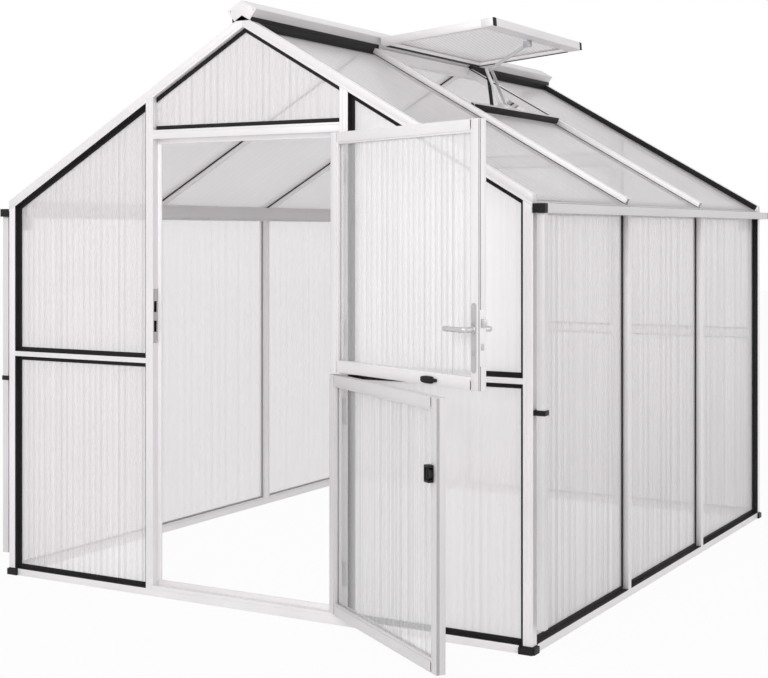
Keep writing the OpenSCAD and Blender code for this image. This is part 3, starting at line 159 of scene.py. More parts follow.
# Base rails and door sill
# Hollow extruded aluminium rails lie on the ground and carry the walls. The die
# eases their edges and leaves faint draw lines along their satin anodised skin.
def new_finish(name):
    """A new material with its node tree, shader and object coordinates."""
    finish = bpy.data.materials.new(name)
    finish.use_nodes = True
    nodes = finish.node_tree.nodes
    shader = nodes["Principled BSDF"]
    place = nodes.new("ShaderNodeTexCoord")
    return finish, finish.node_tree, shader, place.outputs["Object"]


def stretched_noise(tree, coords, scale, detail, turn=(0, 0, 0)):
    """Noise with its own scale, in patches per metre, along each axis."""
    mapping = tree.nodes.new("ShaderNodeMapping")
    mapping.inputs["Rotation"].default_value = turn
    mapping.inputs["Scale"].default_value = scale
    tree.links.new(coords, mapping.inputs["Vector"])
    noise = tree.nodes.new("ShaderNodeTexNoise")
    noise.inputs["Scale"].default_value = 1.0
    noise.inputs["Detail"].default_value = detail
    tree.links.new(mapping.outputs[0], noise.inputs["Vector"])
    return noise.outputs["Fac"]


def ramp(tree, value, *stops):
    """A colour that follows a value from the first of two stops to the second."""
    node = tree.nodes.new("ShaderNodeValToRGB")
    for element, (at, colour) in zip(node.color_ramp.elements, stops):
        element.position = at
        element.color = colour
    tree.links.new(value, node.inputs["Fac"])
    return node.outputs["Color"]


def to_range(tree, value, low, high):
    """A value from nought to one becomes one from low to high."""
    node = tree.nodes.new("ShaderNodeMapRange")
    node.inputs["To Min"].default_value = low
    node.inputs["To Max"].default_value = high
    tree.links.new(value, node.inputs["Value"])
    return node.outputs["Result"]


def blended(tree, first, second, first_share):
    """Two values mixed, with the share of the first."""
    rest = maths(tree, "MULTIPLY", second, 1 - first_share)
    return maths(tree, "MULTIPLY_ADD", first, first_share, rest)


def parted(tree, coords):
    """The x, y and z of coordinates, each by itself."""
    parts = tree.nodes.new("ShaderNodeSeparateXYZ")
    tree.links.new(coords, parts.inputs[0])
    return parts.outputs


def bump(tree, shader, height, strength, distance):
    """A relief, in metres, that catches the light."""
    node = tree.nodes.new("ShaderNodeBump")
    node.inputs["Strength"].default_value = strength
    node.inputs["Distance"].default_value = distance
    tree.links.new(height, node.inputs["Height"])
    tree.links.new(node.outputs[0], shader.inputs["Normal"])


def mirrored(tree, coords):
    """Coordinates that are the same on both sides of the ridge."""
    parts = parted(tree, coords)
    whole = tree.nodes.new("ShaderNodeCombineXYZ")
    tree.links.new(maths(tree, "ABSOLUTE", parts["X"]), whole.inputs["X"])
    tree.links.new(parts["Y"], whole.inputs["Y"])
    tree.links.new(parts["Z"], whole.inputs["Z"])
    return whole.outputs[0]


def satin(name, along, colour=(0.855, 0.833, 0.845), metal=0.25, turn=(0, 0, 0), both_slopes=False,
          rough=(0.36, 0.54)):
    """Satin extruded metal with draw lines along the x, y or z of the bar."""
    finish, tree, shader, coords = new_finish(name)
    if both_slopes:
        coords = mirrored(tree, coords)
    lines_per_m, changes_per_m = 900.0, 2.0
    draw_lines = [lines_per_m] * 3
    draw_lines["xyz".index(along)] = changes_per_m
    lines = stretched_noise(tree, coords, draw_lines, detail=2.0, turn=turn)
    patches = stretched_noise(tree, coords, (3.1, 2.7, 2.9), detail=4.0)
    smudges = stretched_noise(tree, coords, (34.0, 31.0, 37.0), detail=5.0)
    both = blended(tree, lines, patches, first_share=0.35)
    low = tuple(c * 0.94 for c in colour) + (1,)
    high = tuple(min(c * 1.04, 1) for c in colour) + (1,)
    tree.links.new(ramp(tree, both, (0.3, low), (0.7, high)), shader.inputs["Base Color"])
    shader.inputs["Metallic"].default_value = metal
    wear = blended(tree, both, smudges, first_share=0.6)
    tree.links.new(to_range(tree, wear, rough[0], rough[1]), shader.inputs["Roughness"])
    bump(tree, shader, lines, strength=0.12, distance=0.0006)
    return finish


def eased(node_name, finish, width=0.0006, segments=2):
    """A copy of a CAD node with its sharp edges eased, which stands for the node."""
    node = frame["nodes"][node_name]
    piece = bpy.data.objects.new(node_name + "_eased", node.data.copy())
    scene.collection.objects.link(piece)
    piece.data.materials.clear()
    piece.data.materials.append(finish)
    bpy.context.view_layer.objects.active = piece
    piece.select_set(True)
    bpy.ops.mesh.customdata_custom_splitnormals_clear()
    bpy.ops.object.mode_set(mode="EDIT")
    bpy.ops.mesh.select_all(action="SELECT")
    bpy.ops.mesh.remove_doubles(threshold=0.00002)
    bpy.ops.mesh.dissolve_limited(angle_limit=radians(0.5))
    bpy.ops.object.mode_set(mode="OBJECT")
    bevel = piece.modifiers.new("eased_edges", "BEVEL")
    bevel.width = width
    bevel.segments = segments
    bevel.limit_method = "ANGLE"
    bevel.angle_limit = radians(32)
    bevel.use_clamp_overlap = False
    bpy.ops.object.modifier_apply(modifier=bevel.name)
    bpy.ops.object.shade_smooth_by_angle(angle=radians(38))
    piece.select_set(False)
    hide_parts(node_name)
    for body, nodes in frame["record"]["behaviour"]["bodies"].items():
        if node_name in nodes:
            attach(piece, body)
    return piece


across = satin("satin_aluminium_across", "x")
lengthwise = satin("satin_aluminium_lengthwise", "y")
eased("base_rails", lengthwise, width=0.001)
eased("door_sill", across)


# Corner feet
# Each corner of the base is held by a moulded black plastic foot that stands out
# round the post. A round-headed screw on each outer side fixes it.
def moulding(name, shade, rough, grain):
    """Dark moulded plastic or rubber with a fine grain, a little worn."""
    finish, tree, shader, coords = new_finish(name)
    speckle = stretched_noise(tree, coords, (grain, grain, grain), detail=4.0)
    wear = stretched_noise(tree, coords, (9.0, 9.0, 9.0), detail=3.0)
    low = (shade * 0.8, shade * 0.74, shade * 0.8, 1)
    high = (shade * 1.35, shade * 1.22, shade * 1.33, 1)
    tree.links.new(ramp(tree, wear, (0.3, low), (0.7, high)), shader.inputs["Base Color"])
    tree.links.new(to_range(tree, speckle, rough - 0.08, rough + 0.08), shader.inputs["Roughness"])
    shader.inputs["Specular IOR Level"].default_value = 0.22
    bump(tree, shader, speckle, strength=0.2, distance=0.0004)
    return finish


def pick_faces(piece, test):
    """Only the faces that pass the test are selected, in edit mode."""
    bpy.ops.object.mode_set(mode="EDIT")
    bpy.ops.mesh.select_all(action="DESELECT")
    bpy.ops.object.mode_set(mode="OBJECT")
    for face in piece.data.polygons:
        face.select = test(face)
    bpy.ops.object.mode_set(mode="EDIT")


def screw_head(radius, height, finish):
    """A pan head with a recessed drive, at the origin and facing up."""
    bpy.ops.mesh.primitive_cylinder_add(vertices=20, radius=radius, depth=height,
                                        location=(0, 0, height / 2))
    head = bpy.context.object
    head.data.materials.append(finish)
    pick_faces(head, lambda face: face.normal.z > 0.9)
    bpy.ops.mesh.bevel(offset=height * 0.45, segments=3, affect="EDGES")
    bpy.ops.object.mode_set(mode="OBJECT")
    pick_faces(head, lambda face: face.normal.z > 0.999)
    bpy.ops.mesh.inset(thickness=radius * 0.28)
    bpy.ops.mesh.extrude_region_move(TRANSFORM_OT_translate={"value": (0, 0, -height * 0.5)})
    bpy.ops.object.mode_set(mode="OBJECT")
    bpy.ops.object.shade_smooth_by_angle(angle=radians(40))
    return head


def place_heads(head, piece, places, move=Matrix.Identity(4)):
    """Copies of a head, each with its own mesh, are joined to the piece they hold."""
    heads = []
    for at, facing in places:
        copy = bpy.data.objects.new("head", head.data.copy())
        turn = Vector(facing).to_track_quat("Z", "Y").to_matrix().to_4x4()
        copy.data.transform(move @ Matrix.Translation(at) @ turn)
        scene.collection.objects.link(copy)
        heads.append(copy)
    bpy.ops.object.select_all(action="DESELECT")
    for copy in heads:
        copy.select_set(True)
    piece.select_set(True)
    bpy.context.view_layer.objects.active = piece
    bpy.ops.object.join()
    piece.select_set(False)


def put_away(piece):
    """The pattern piece goes once its copies are in place."""
    bpy.ops.object.select_all(action="DESELECT")
    bpy.data.objects.remove(piece, do_unlink=True)


black_moulding = moulding("black_moulding", shade=0.011, rough=0.48, grain=1400)
zinc = satin("zinc_plated_steel", "z", (0.62, 0.62, 0.63), metal=0.85)
feet = eased("base_corners", black_moulding, width=0.0016, segments=3)
foot_low, foot_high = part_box("base_corners")
foot_screw = screw_head(radius=0.0045, height=0.0016, finish=zinc)
foot_screw_in, foot_screw_z, foot_screw_sunk = 0.036, 0.013, 0.0016
foot_places = []
for x in (foot_low.x, foot_high.x):
    side = 1 if x > 0 else -1
    for y in (foot_low.y, foot_high.y):
        end = 1 if y > 0 else -1
        foot_places.append(((x - side * foot_screw_in, y - end * foot_screw_sunk, foot_screw_z),
                            (0, end, 0)))
        foot_places.append(((x - side * foot_screw_sunk, y - end * foot_screw_in, foot_screw_z),
                            (side, 0, 0)))
place_heads(foot_screw, feet, foot_places)
put_away(foot_screw)

# Wall posts, rails and side bars
# Hollow aluminium posts stand on the base rails and carry the eaves and rafters.
# Mid rails and the lintel plug in between them, and two grooves run down each face.
upright = satin("satin_aluminium_upright", "z")
# The corner posts take a paler copy of the same satin aluminium: painted light.
eased("corner_posts", satin("satin_aluminium_corner_painted_light", "z", (0.91, 0.887, 0.90), metal=0.2))
for name in ("door_posts", "back_posts", "side_bars"):
    eased(name, upright)
for name in ("front_rails", "back_rails"):
    eased(name, across)

# Eave rails, rafters, roof bars and ridge beam
# The eave rails close the side walls and carry the roof. The rafters and the roof
# bars lie in the slope of the roof and meet at the ridge beam.
roof_slope = radians(30)
down_slope = satin("satin_aluminium_down_slope", "x", turn=(0, roof_slope, 0), both_slopes=True)
# The eave rails take a darker copy of the same satin aluminium: painted shade, which the vent sill
# shares.
shaded_eave_satin = satin("satin_aluminium_eave_painted_shade", "y", (0.62, 0.604, 0.612), metal=0.3)
eased("eave_rails", shaded_eave_satin)
eased("gable_rafters", down_slope)
eased("roof_bars", down_slope, width=0.001)
eased("ridge_beam", lengthwise)

# Ridge cap and its end plates
# A mushroom-shaped extrusion caps the ridge, and a flat plate is screwed over
# each of its ends.
# The ridge cap takes a darker copy of the same satin aluminium: painted shade.
shaded_cap_satin = satin("satin_aluminium_cap_painted_shade", "y", (0.70, 0.683, 0.692), metal=0.3)
eased("ridge_cap", shaded_cap_satin, width=0.0012, segments=3)
end_plates = eased("ridge_end_plates", across)
end_low, end_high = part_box("ridge_end_plates")
end_screw = screw_head(radius=0.0035, height=0.0010, finish=zinc)
end_screw_out, end_screw_z, end_screw_sunk = 0.030, 2.245, 0.0012
end_places = []
for y, end in ((end_low.y, -1), (end_high.y, 1)):
    for x in (-end_screw_out, end_screw_out):
        end_places.append(((x, y - end * end_screw_sunk, end_screw_z), (0, end, 0)))
place_heads(end_screw, end_plates, end_places)
put_away(end_screw)


# Twin-wall panels
# Each pane is a sheet of clear-white polycarbonate with two skins joined by
# fine ribs. It is pushed into the frame from inside.
def dress(finish, name):
    """The finish goes straight onto the CAD node."""
    node = frame["nodes"][name]
    node.data.materials.clear()
    node.data.materials.append(finish)


def bands(tree, coords, pitch):
    """Soft stripes that stand across x at the pitch. The texture's own pitch is pi / 10."""
    wave = tree.nodes.new("ShaderNodeTexWave")
    wave.wave_type = "BANDS"
    wave.bands_direction = "X"
    wave.inputs["Scale"].default_value = pi / 10 / pitch
    tree.links.new(coords, wave.inputs["Vector"])
    return wave.outputs["Fac"]


def fade(tree, value, start, end, low=0.0, high=1.0):
    """A soft change from low to high while the value goes from start to end."""
    node = tree.nodes.new("ShaderNodeMapRange")
    node.interpolation_type = "SMOOTHSTEP"
    node.inputs["From Min"].default_value = start
    node.inputs["From Max"].default_value = end
    node.inputs["To Min"].default_value = low
    node.inputs["To Max"].default_value = high
    tree.links.new(value, node.inputs["Value"])
    return node.outputs["Result"]


def rib_lines(tree, place, pitch):
    """Narrow lines of uneven strength at the pitch, with fainter ones between them."""
    sharpness, fine_share = 8.0, 0.25
    changes_per_m = 1.7 / pitch / 3
    narrow = maths(tree, "POWER", bands(tree, place, pitch), sharpness)
    uneven = stretched_noise(tree, place, (changes_per_m, 0, 0), detail=2.0)
    lines = maths(tree, "MULTIPLY", narrow, to_range(tree, uneven, -0.5, 1.7))
    return maths(tree, "MULTIPLY_ADD", bands(tree, place, pitch / 2), fine_share, lines)


def diamonds(tree, place, pitch, lines, strength):
    """Pale diamond dots over fainter lines, as on the sheet of the lid."""
    lean, line_share, dimmed = 0.3, 0.3, 0.4
    parts = parted(tree, place)
    waves = []
    for slope in (lean, -lean):
        slant = maths(tree, "MULTIPLY_ADD", parts["Y"], slope, parts["X"])
        waves.append(maths(tree, "SINE", maths(tree, "MULTIPLY", slant, pi / pitch)))
    spots = maths(tree, "ABSOLUTE", maths(tree, "MULTIPLY", waves[0], waves[1]))
    faint = maths(tree, "MULTIPLY_ADD", lines, line_share, strength * dimmed)
    return maths(tree, "MULTIPLY_ADD", spots, -strength, faint)


def twin_wall(name, turn=(0, 0, 0), pitch=0.030, clear=0.48, tint=(0.84, 0.816, 0.824),
              dots=0.0, clouds=0.25, contrast=1.0, painted_light_end=False, hinge_at=None,
              painted_low_shade=0.0, calm_left=0.0):
    """Ribs stand across local x after the turn. The sheet passes far more light
    than it lets an eye see through, so it shades less than its own opacity."""
    finish, tree, shader, coords = new_finish(name)
    mapping = tree.nodes.new("ShaderNodeMapping")
    mapping.inputs["Rotation"].default_value = turn
    tree.links.new(coords, mapping.inputs["Vector"])
    place = mapping.outputs[0]
    where = parted(tree, coords)
    lines = rib_lines(tree, place, pitch)
    if dots:
        lines = diamonds(tree, place, pitch, lines, dots)

    # Streaks run with the ribs, soft clouds lie over all, and painted shade darkens the sheet low
    # down.
    streaks_per_m = 1.7 / pitch
    streaks = stretched_noise(tree, place, (streaks_per_m, 0, 0), detail=3.0)
    cloud = stretched_noise(tree, coords, (2.3, 2.3, 2.3), detail=4.0)
    line_share, streaks_from, cloud_middle = 0.8, 0.38, 0.5
    streaks_left = maths(tree, "SUBTRACT", streaks, streaks_from)
    both = maths(tree, "MULTIPLY_ADD", lines, line_share, streaks_left)
    mixed = maths(tree, "MULTIPLY_ADD", maths(tree, "SUBTRACT", cloud, cloud_middle), clouds, both)
    # Painted shade: the sheet grows darker towards the ground.
    low_shade = maths(tree, "MULTIPLY_ADD", where["Z"], -painted_low_shade, painted_low_shade)
    mixed = maths(tree, "ADD", mixed, low_shade)

    # Sheets left of the ridge look calmer. Those at the right end get painted light: fainter ribs and,
    # high up, a paler colour that hides more of what is behind.
    if calm_left:
        on_left = maths(tree, "LESS_THAN", where["X"], 0.0)
        mixed = maths(tree, "MULTIPLY", mixed, maths(tree, "MULTIPLY_ADD", on_left, -calm_left, 1.0))
    # Painted light: towards the right end the ribs fade into an even pale tone.
    if painted_light_end:
        ribs_lost, even_tone, less_clear = 0.7, 0.30, 0.4
        to_right = fade(tree, where["X"], 0.3, 0.7)
        left_over = maths(tree, "MULTIPLY_ADD", to_right, -ribs_lost, 1.0)
        kept_ribs = maths(tree, "MULTIPLY", mixed, left_over)
        mixed = maths(tree, "MULTIPLY_ADD", to_right, even_tone, kept_ribs)

    # Dark lines hide more of what is behind them than the pale sheet between them.
    dark_lines, pale_lines = 0.34 * contrast, 0.14 * contrast
    low = tuple(c * (1 - dark_lines) for c in tint) + (1,)
    high = tuple(min(c * (1 + pale_lines), 1) for c in tint) + (1,)
    colour = ramp(tree, mixed, (0.0, high), (1.0, low))
    spread = 0.2 * contrast
    seen_share = to_range(tree, mixed, 1 - clear - spread, 1 - clear + spread)
    # Painted light: high on the right end the colour is lifted towards white.
    if painted_light_end:
        painted_light_share = maths(tree, "MULTIPLY", to_right, fade(tree, where["Z"], 0.3, 1.0))
        painted_light_mix = tree.nodes.new("ShaderNodeMix")
        painted_light_mix.data_type = "RGBA"
        tree.links.new(painted_light_share, painted_light_mix.inputs["Factor"])
        tree.links.new(colour, painted_light_mix.inputs["A"])
        painted_light_mix.inputs["B"].default_value = (1.0, 0.985, 0.995, 1)
        colour = painted_light_mix.outputs["Result"]
        seen_share = maths(tree, "MULTIPLY_ADD", painted_light_share, less_clear, seen_share)
    if hinge_at is not None:
        strip_from, strip_to, strip_share = hinge_at - 0.21, hinge_at - 0.12, 0.42
        near_hinge = fade(tree, parted(tree, place)["X"], strip_from, strip_to, 1.0, strip_share)
        seen_share = maths(tree, "MULTIPLY", seen_share, near_hinge)
    tree.links.new(colour, shader.inputs["Base Color"])

    # Light and shadow pass the sheet more freely than the eye does.
    light_path = tree.nodes.new("ShaderNodeLightPath")
    lighting = maths(tree, "MAXIMUM", light_path.outputs["Is Shadow Ray"],
                     light_path.outputs["Is Diffuse Ray"])
    light_let_by = 0.82
    shaded = maths(tree, "MULTIPLY_ADD", lighting, -light_let_by, 1.0)
    tree.links.new(maths(tree, "MULTIPLY", seen_share, shaded), shader.inputs["Alpha"])
    tree.links.new(to_range(tree, streaks, 0.22, 0.42), shader.inputs["Roughness"])
    shader.inputs["Specular IOR Level"].default_value = 0.35
    bump(tree, shader, bands(tree, place, pitch / 2), strength=0.1, distance=0.001)
    return finish


joint_of = {joint["name"]: joint for joint in frame["record"]["behaviour"]["joints"]}
upper_open = radians(-joint_of["upper_leaf_hinge"]["range_deg"][0])
lower_open = radians(-joint_of["lower_leaf_hinge"]["range_deg"][0])
across_y = (0, 0, radians(90))
dress(twin_wall("twin_wall_gable", painted_light_end=True, painted_low_shade=0.04), "front_panels")
dress(twin_wall("twin_wall_back"), "back_panels")
dress(twin_wall("twin_wall_side", across_y, pitch=0.055, clear=0.45, painted_low_shade=0.34, calm_left=0.75),
      "side_panels")
# The roof sheets take a darker tint than the wall sheets of the same polycarbonate: painted shade.
shaded_roof_tint = (0.71, 0.686, 0.694)
dress(twin_wall("twin_wall_roof", across_y, pitch=0.050, clear=0.42, tint=shaded_roof_tint, clouds=1.5,
                contrast=0.7, calm_left=0.8), "roof_panels")
# The upper leaf's sheet takes a paler tint: painted light for the light that shines through it.
lit_leaf_tint = (0.97, 0.95, 0.965)
hinge_place = Vector(joint_of["upper_leaf_hinge"]["pos_m"])
upper_hinge_at = (Matrix.Rotation(-upper_open, 4, "Z") @ hinge_place).x
lower_hinge_at = (Matrix.Rotation(-lower_open, 4, "Z") @ hinge_place).x
dress(twin_wall("twin_wall_upper_leaf", (0, 0, -upper_open), clear=0.28, tint=lit_leaf_tint,
                contrast=1.4, hinge_at=upper_hinge_at), "upper_leaf_panel")
dress(twin_wall("twin_wall_lower_leaf", (0, 0, -lower_open), clear=0.42, contrast=2.1,
                hinge_at=lower_hinge_at), "lower_leaf_panel")
vent_tint = (0.86, 0.835, 0.845)
dot_rows = (0, 0, radians(-30))
dress(twin_wall("twin_wall_vent", dot_rows, pitch=0.017, clear=0.38, tint=vent_tint, dots=1.6,
                clouds=0.2, contrast=1.2), "vent_panel")

# Glazing rubber
# Matt black rubber strips press the panels against the frame from outside, and a
# wedge of the same rubber closes the foot of the ridge cap.
rubber = moulding("glazing_rubber", shade=0.012, rough=0.62, grain=900)
for name in ("gable_wall_strips", "side_wall_strips", "roof_strips"):
    eased(name, rubber, width=0.0005)

# Glazing beads
# White plastic beads snap in behind the panels and hold them from inside.
bead_finish = satin("pale_bead", "z", (0.80, 0.79, 0.80), metal=0.0)
eased("wall_beads", bead_finish, width=0.0008)
eased("roof_beads", bead_finish, width=0.0008)

# Gutters and downpipes
# An open aluminium gutter runs along each eave. Black caps close its ends, and a
# square pipe drops from the front one beside the corner post, held by a clip.
# Gutter and downpipe take darker copies of the same satin aluminium: painted shade.
shaded_gutter_satin = satin("satin_aluminium_gutter_painted_shade", "y", (0.72, 0.702, 0.712), metal=0.3)
shaded_pipe_satin = satin("satin_aluminium_pipe_painted_shade", "z", (0.74, 0.722, 0.732), metal=0.25)
eased("gutters", shaded_gutter_satin, width=0.0007)
eased("gutter_end_caps", black_moulding, width=0.0009, segments=3)
eased("downpipes", shaded_pipe_satin, width=0.0007)
clips = eased("downpipe_clips", black_moulding, width=0.001, segments=3)
clip_low, clip_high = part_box("downpipe_clips")
clip_screw = screw_head(radius=0.004, height=0.0014, finish=zinc)
clip_screw_sunk = 0.0012
clip_z = (clip_low.z + clip_high.z) / 2
clip_y = (clip_low.y + clip_high.y) / 2
place_heads(clip_screw, clips, [((clip_low.x + clip_screw_sunk, clip_y, clip_z), (-1, 0, 0)),
                                ((clip_high.x - clip_screw_sunk, clip_y, clip_z), (1, 0, 0))])
put_away(clip_screw)

# Corner brackets and bolts
# An angle of zinc plated steel stiffens each inner corner under the eave. It is
# held by two bolts with washers.
eased("corner_brackets", zinc, width=0.0006)
eased("frame_bolts", zinc, width=0.0009)

# Vent opening
# The vented bay has a sill across it, a round channel on the ridge cap for the
# lid's hinge bead, and a folded bracket for the foot of the stay.
# The sill takes the eave's darker satin, painted shade.
eased("vent_sill", shaded_eave_satin)
eased("vent_hinge_channel", lengthwise, width=0.0004)
eased("stay_foot_bracket", zinc, width=0.0006)

# Vent lid
# The lid is a glazed frame of the same satin aluminium, with a deep rail along
# its free edge that has a black cap at each end.
eased("vent_frame", lengthwise, width=0.0008)
eased("vent_rubber_trim", rubber, width=0.0008)

# Vent stay and opener
# A flat arm and a pair of struts hold the lid open. Beside them hangs the black
# cylinder of the automatic opener, with its piston rod at the top.
eased("vent_stay_bracket", zinc, width=0.0006)
eased("stay_arm", zinc, width=0.001, segments=3)
eased("stay_struts", zinc, width=0.0008, segments=3)
eased("opener_cylinder", black_moulding, width=0.0012, segments=3)


# Door hinges
# Each leaf hangs on two bright steel hinges with a loose pin. Their wings are
# screwed to the post and to the leaf with three screws each.
def onto_open_leaf(angle):
    """Moves a piece from its place on the shut leaf to where the open leaf stands."""
    return Matrix.Translation((hinge_x, hinge_y, 0)) @ Matrix.Rotation(angle, 4, "Z")


brushed = satin("brushed_steel", "z", (0.72, 0.715, 0.725), metal=0.8, rough=(0.28, 0.46))
hinge_x, hinge_y = joint_of["upper_leaf_hinge"]["pos_m"][:2]
hinge_h = 0.090
wing_screws = (0.014, 0.045, 0.076)
post_wing_x, post_wing_y = hinge_x + 0.019, -1.1206
leaf_wing_x, leaf_wing_y = -0.024, 0.003
hinge_screw = screw_head(radius=0.0036, height=0.0012, finish=zinc)
post_side = eased("post_hinges", brushed, width=0.0005)
post_screws = []
for leaf, angle in (("upper_leaf", upper_open), ("lower_leaf", lower_open)):
    low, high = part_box(leaf + "_hinges")
    heights = [z + up for z in (low.z, high.z - hinge_h) for up in wing_screws]
    leaf_side = eased(leaf + "_hinges", brushed, width=0.0005)
    place_heads(hinge_screw, leaf_side, [((leaf_wing_x, leaf_wing_y, z), (0, -1, 0)) for z in heights],
                onto_open_leaf(angle))
    post_screws += [((post_wing_x, post_wing_y, z), (0, -1, 0)) for z in heights]
place_heads(hinge_screw, post_side, post_screws)
put_away(hinge_screw)
eased("hinge_pins", zinc, width=0.0008, segments=3)

# Door leaves
# Both leaves are frames of hollow aluminium with a step beside the panel. The
# stiles run through, and the rails butt against them with a fine joint line.
eased("upper_leaf_frame", upright, width=0.0003)
# The lower leaf takes a darker copy of the frame's satin aluminium: painted shade.
shaded_lower_leaf_satin = satin("satin_aluminium_lower_leaf_painted_shade", "z", (0.71, 0.691, 0.70), metal=0.28)
eased("lower_leaf_frame", shaded_lower_leaf_satin, width=0.0003)

# Leaf edge seals
# Two fine beads of grey rubber run down the closing edge of each leaf and meet
# the lock post when the leaf is shut.
grey_rubber = moulding("grey_edge_rubber", shade=0.16, rough=0.6, grain=900)
leaf_edge_x, seal_out, seal_w, seal_end = -0.835, 0.0005, 0.0022, 0.002
bead_places_y = (0.0352, 0.0292)
for leaf, angle in (("upper_leaf", upper_open), ("lower_leaf", lower_open)):
    low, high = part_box(leaf + "_frame")
    beads = []
    for bead_y in bead_places_y:
        bead_at = (leaf_edge_x - seal_out / 2, bead_y, (low.z + high.z) / 2)
        bpy.ops.object.select_all(action="DESELECT")
        bpy.ops.mesh.primitive_cube_add(size=1, location=bead_at,
                                        scale=(seal_out, seal_w, high.z - low.z - 2 * seal_end))
        bead = bpy.context.object
        bpy.ops.object.transform_apply(location=True, rotation=True, scale=True)
        bpy.ops.object.mode_set(mode="EDIT")
        bpy.ops.mesh.select_all(action="SELECT")
        bpy.ops.mesh.bevel(offset=0.0002, segments=2)
        bpy.ops.object.mode_set(mode="OBJECT")
        bead.data.materials.append(grey_rubber)
        beads.append(bead)
    for bead in beads:
        bead.select_set(True)
    bpy.context.view_layer.objects.active = beads[0]
    bpy.ops.object.join()
    seal = bpy.context.object
    seal.name = leaf + "_edge_seal"
    seal.data.transform(onto_open_leaf(angle))
    seal.select_set(False)
    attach(seal, leaf)

# Lock
# The lock stile holds a case with a sprung latch, a deadbolt and a key cylinder.
# Their flat end plate is bright, and the bolts are of dull brushed steel.
handle_steel = satin("brushed_handle_steel", "z", (0.54, 0.525, 0.535), metal=0.8, rough=(0.26, 0.42))
eased("lock_case", upright, width=0.0005, segments=3)
for name in ("latch_bolt", "deadbolt", "key_cylinder"):
    eased(name, handle_steel, width=0.0005, segments=3)

# Handle plates and levers
# A long plate on each face of the lock stile is held by two screws. The round
# levers have a collar, a neck and a bend, and turn together on a square spindle.
onto_upper = onto_open_leaf(upper_open)
plates = eased("handle_plates", handle_steel, width=0.0009, segments=3)
plate_low, plate_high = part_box("handle_plates")
spindle_x, lever_z = -0.814, joint_of["lever_turn"]["pos_m"][2]
inner_face, outer_face = 0.041, 0.003
plate_screw = screw_head(radius=0.0034, height=0.0010, finish=zinc)
screw_from_end, screw_seat = 0.012, 0.0001
plate_screws = []
for z in (plate_low.z + screw_from_end, plate_high.z - screw_from_end):
    plate_screws.append(((spindle_x, inner_face - screw_seat, z), (0, 1, 0)))
    plate_screws.append(((spindle_x, outer_face + screw_seat, z), (0, -1, 0)))
place_heads(plate_screw, plates, plate_screws, onto_upper)
put_away(plate_screw)

lever_steel = satin("brushed_lever_steel", "x", (0.60, 0.585, 0.595), metal=0.85, rough=(0.2, 0.34))
collar_r, neck_r, bar_r = 0.0115, 0.0078, 0.0088
bar_out, bend_r, bar_l = 0.036, 0.013, 0.104
collar_gap = 0.0003


def lever(face, out):
    """One lever, pulled out of its collar's disc along the neck, bend and bar."""
    bpy.ops.object.select_all(action="DESELECT")
    y = face + out * collar_gap
    bpy.ops.mesh.primitive_circle_add(vertices=28, radius=collar_r, fill_type="NGON",
                                      location=(spindle_x, y, lever_z), rotation=(radians(90), 0, 0))
    piece = bpy.context.object
    bpy.ops.object.transform_apply(location=True, rotation=True, scale=True)
    bpy.ops.object.mode_set(mode="EDIT")
    bpy.ops.mesh.select_all(action="SELECT")

    def pull(step, scale=1.0):
        nonlocal y
        y += out * step
        bpy.ops.mesh.extrude_region_move(TRANSFORM_OT_translate={"value": (0, out * step, 0)})
        bpy.ops.transform.resize(value=(scale, 1, scale), center_override=(spindle_x, y, lever_z))

    # The collar with its rounded rim, the neck, the swell to the bar and the bend.
    rim = 0.93
    pull(0.0026)
    pull(0.0007, rim)
    pull(0.0003, neck_r / collar_r / rim)
    pull(0.0070)
    pull(0.0050, bar_r / neck_r)
    pull(bar_out - bend_r - abs(y - face))
    bpy.ops.mesh.spin(steps=9, angle=out * radians(90), center=(spindle_x + bend_r, y, lever_z),
                      axis=(0, 0, 1))

    # The bar, in three lengths, and its rounded end.
    first_steps = ((0.030, 1.0), (0.030, 1.0))
    end_steps = ((0.0035, 0.93), (0.0021, 0.80), (0.0009, 0.55))
    third_step = bar_l - bend_r - sum(step for step, scale in first_steps + end_steps)
    x, bar_y = spindle_x + bend_r, y + out * bend_r
    for step, scale in first_steps + ((third_step, 1.0),) + end_steps:
        x += step
        bpy.ops.mesh.extrude_region_move(TRANSFORM_OT_translate={"value": (step, 0, 0)})
        bpy.ops.transform.resize(value=(1, scale, scale), center_override=(x, bar_y, lever_z))
    bpy.ops.mesh.select_all(action="SELECT")
    bpy.ops.mesh.normals_make_consistent(inside=False)
    bpy.ops.object.mode_set(mode="OBJECT")
    bpy.ops.object.shade_smooth_by_angle(angle=radians(40))
    piece.data.materials.append(lever_steel)
    return piece


spindle_w = 0.008
spindle_l = inner_face - outer_face + 0.002
spindle_at = (spindle_x, (inner_face + outer_face) / 2, lever_z)
bpy.ops.object.select_all(action="DESELECT")
bpy.ops.mesh.primitive_cube_add(size=1, location=spindle_at, scale=(spindle_w, spindle_l, spindle_w))
handles = bpy.context.object
handles.name = "lever_pair"
bpy.ops.object.transform_apply(location=True, rotation=True, scale=True)
bpy.ops.object.mode_set(mode="EDIT")
bpy.ops.mesh.select_all(action="SELECT")
bpy.ops.mesh.bevel(offset=0.0006, segments=2)
bpy.ops.object.mode_set(mode="OBJECT")
handles.data.materials.append(lever_steel)
halves = [lever(inner_face, 1), lever(outer_face, -1)]
bpy.ops.object.select_all(action="DESELECT")
for half in halves:
    half.select_set(True)
handles.select_set(True)
bpy.context.view_layer.objects.active = handles
bpy.ops.object.join()
handles.data.transform(onto_upper)
handles.select_set(False)
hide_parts("lever_handles")
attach(handles, "levers")
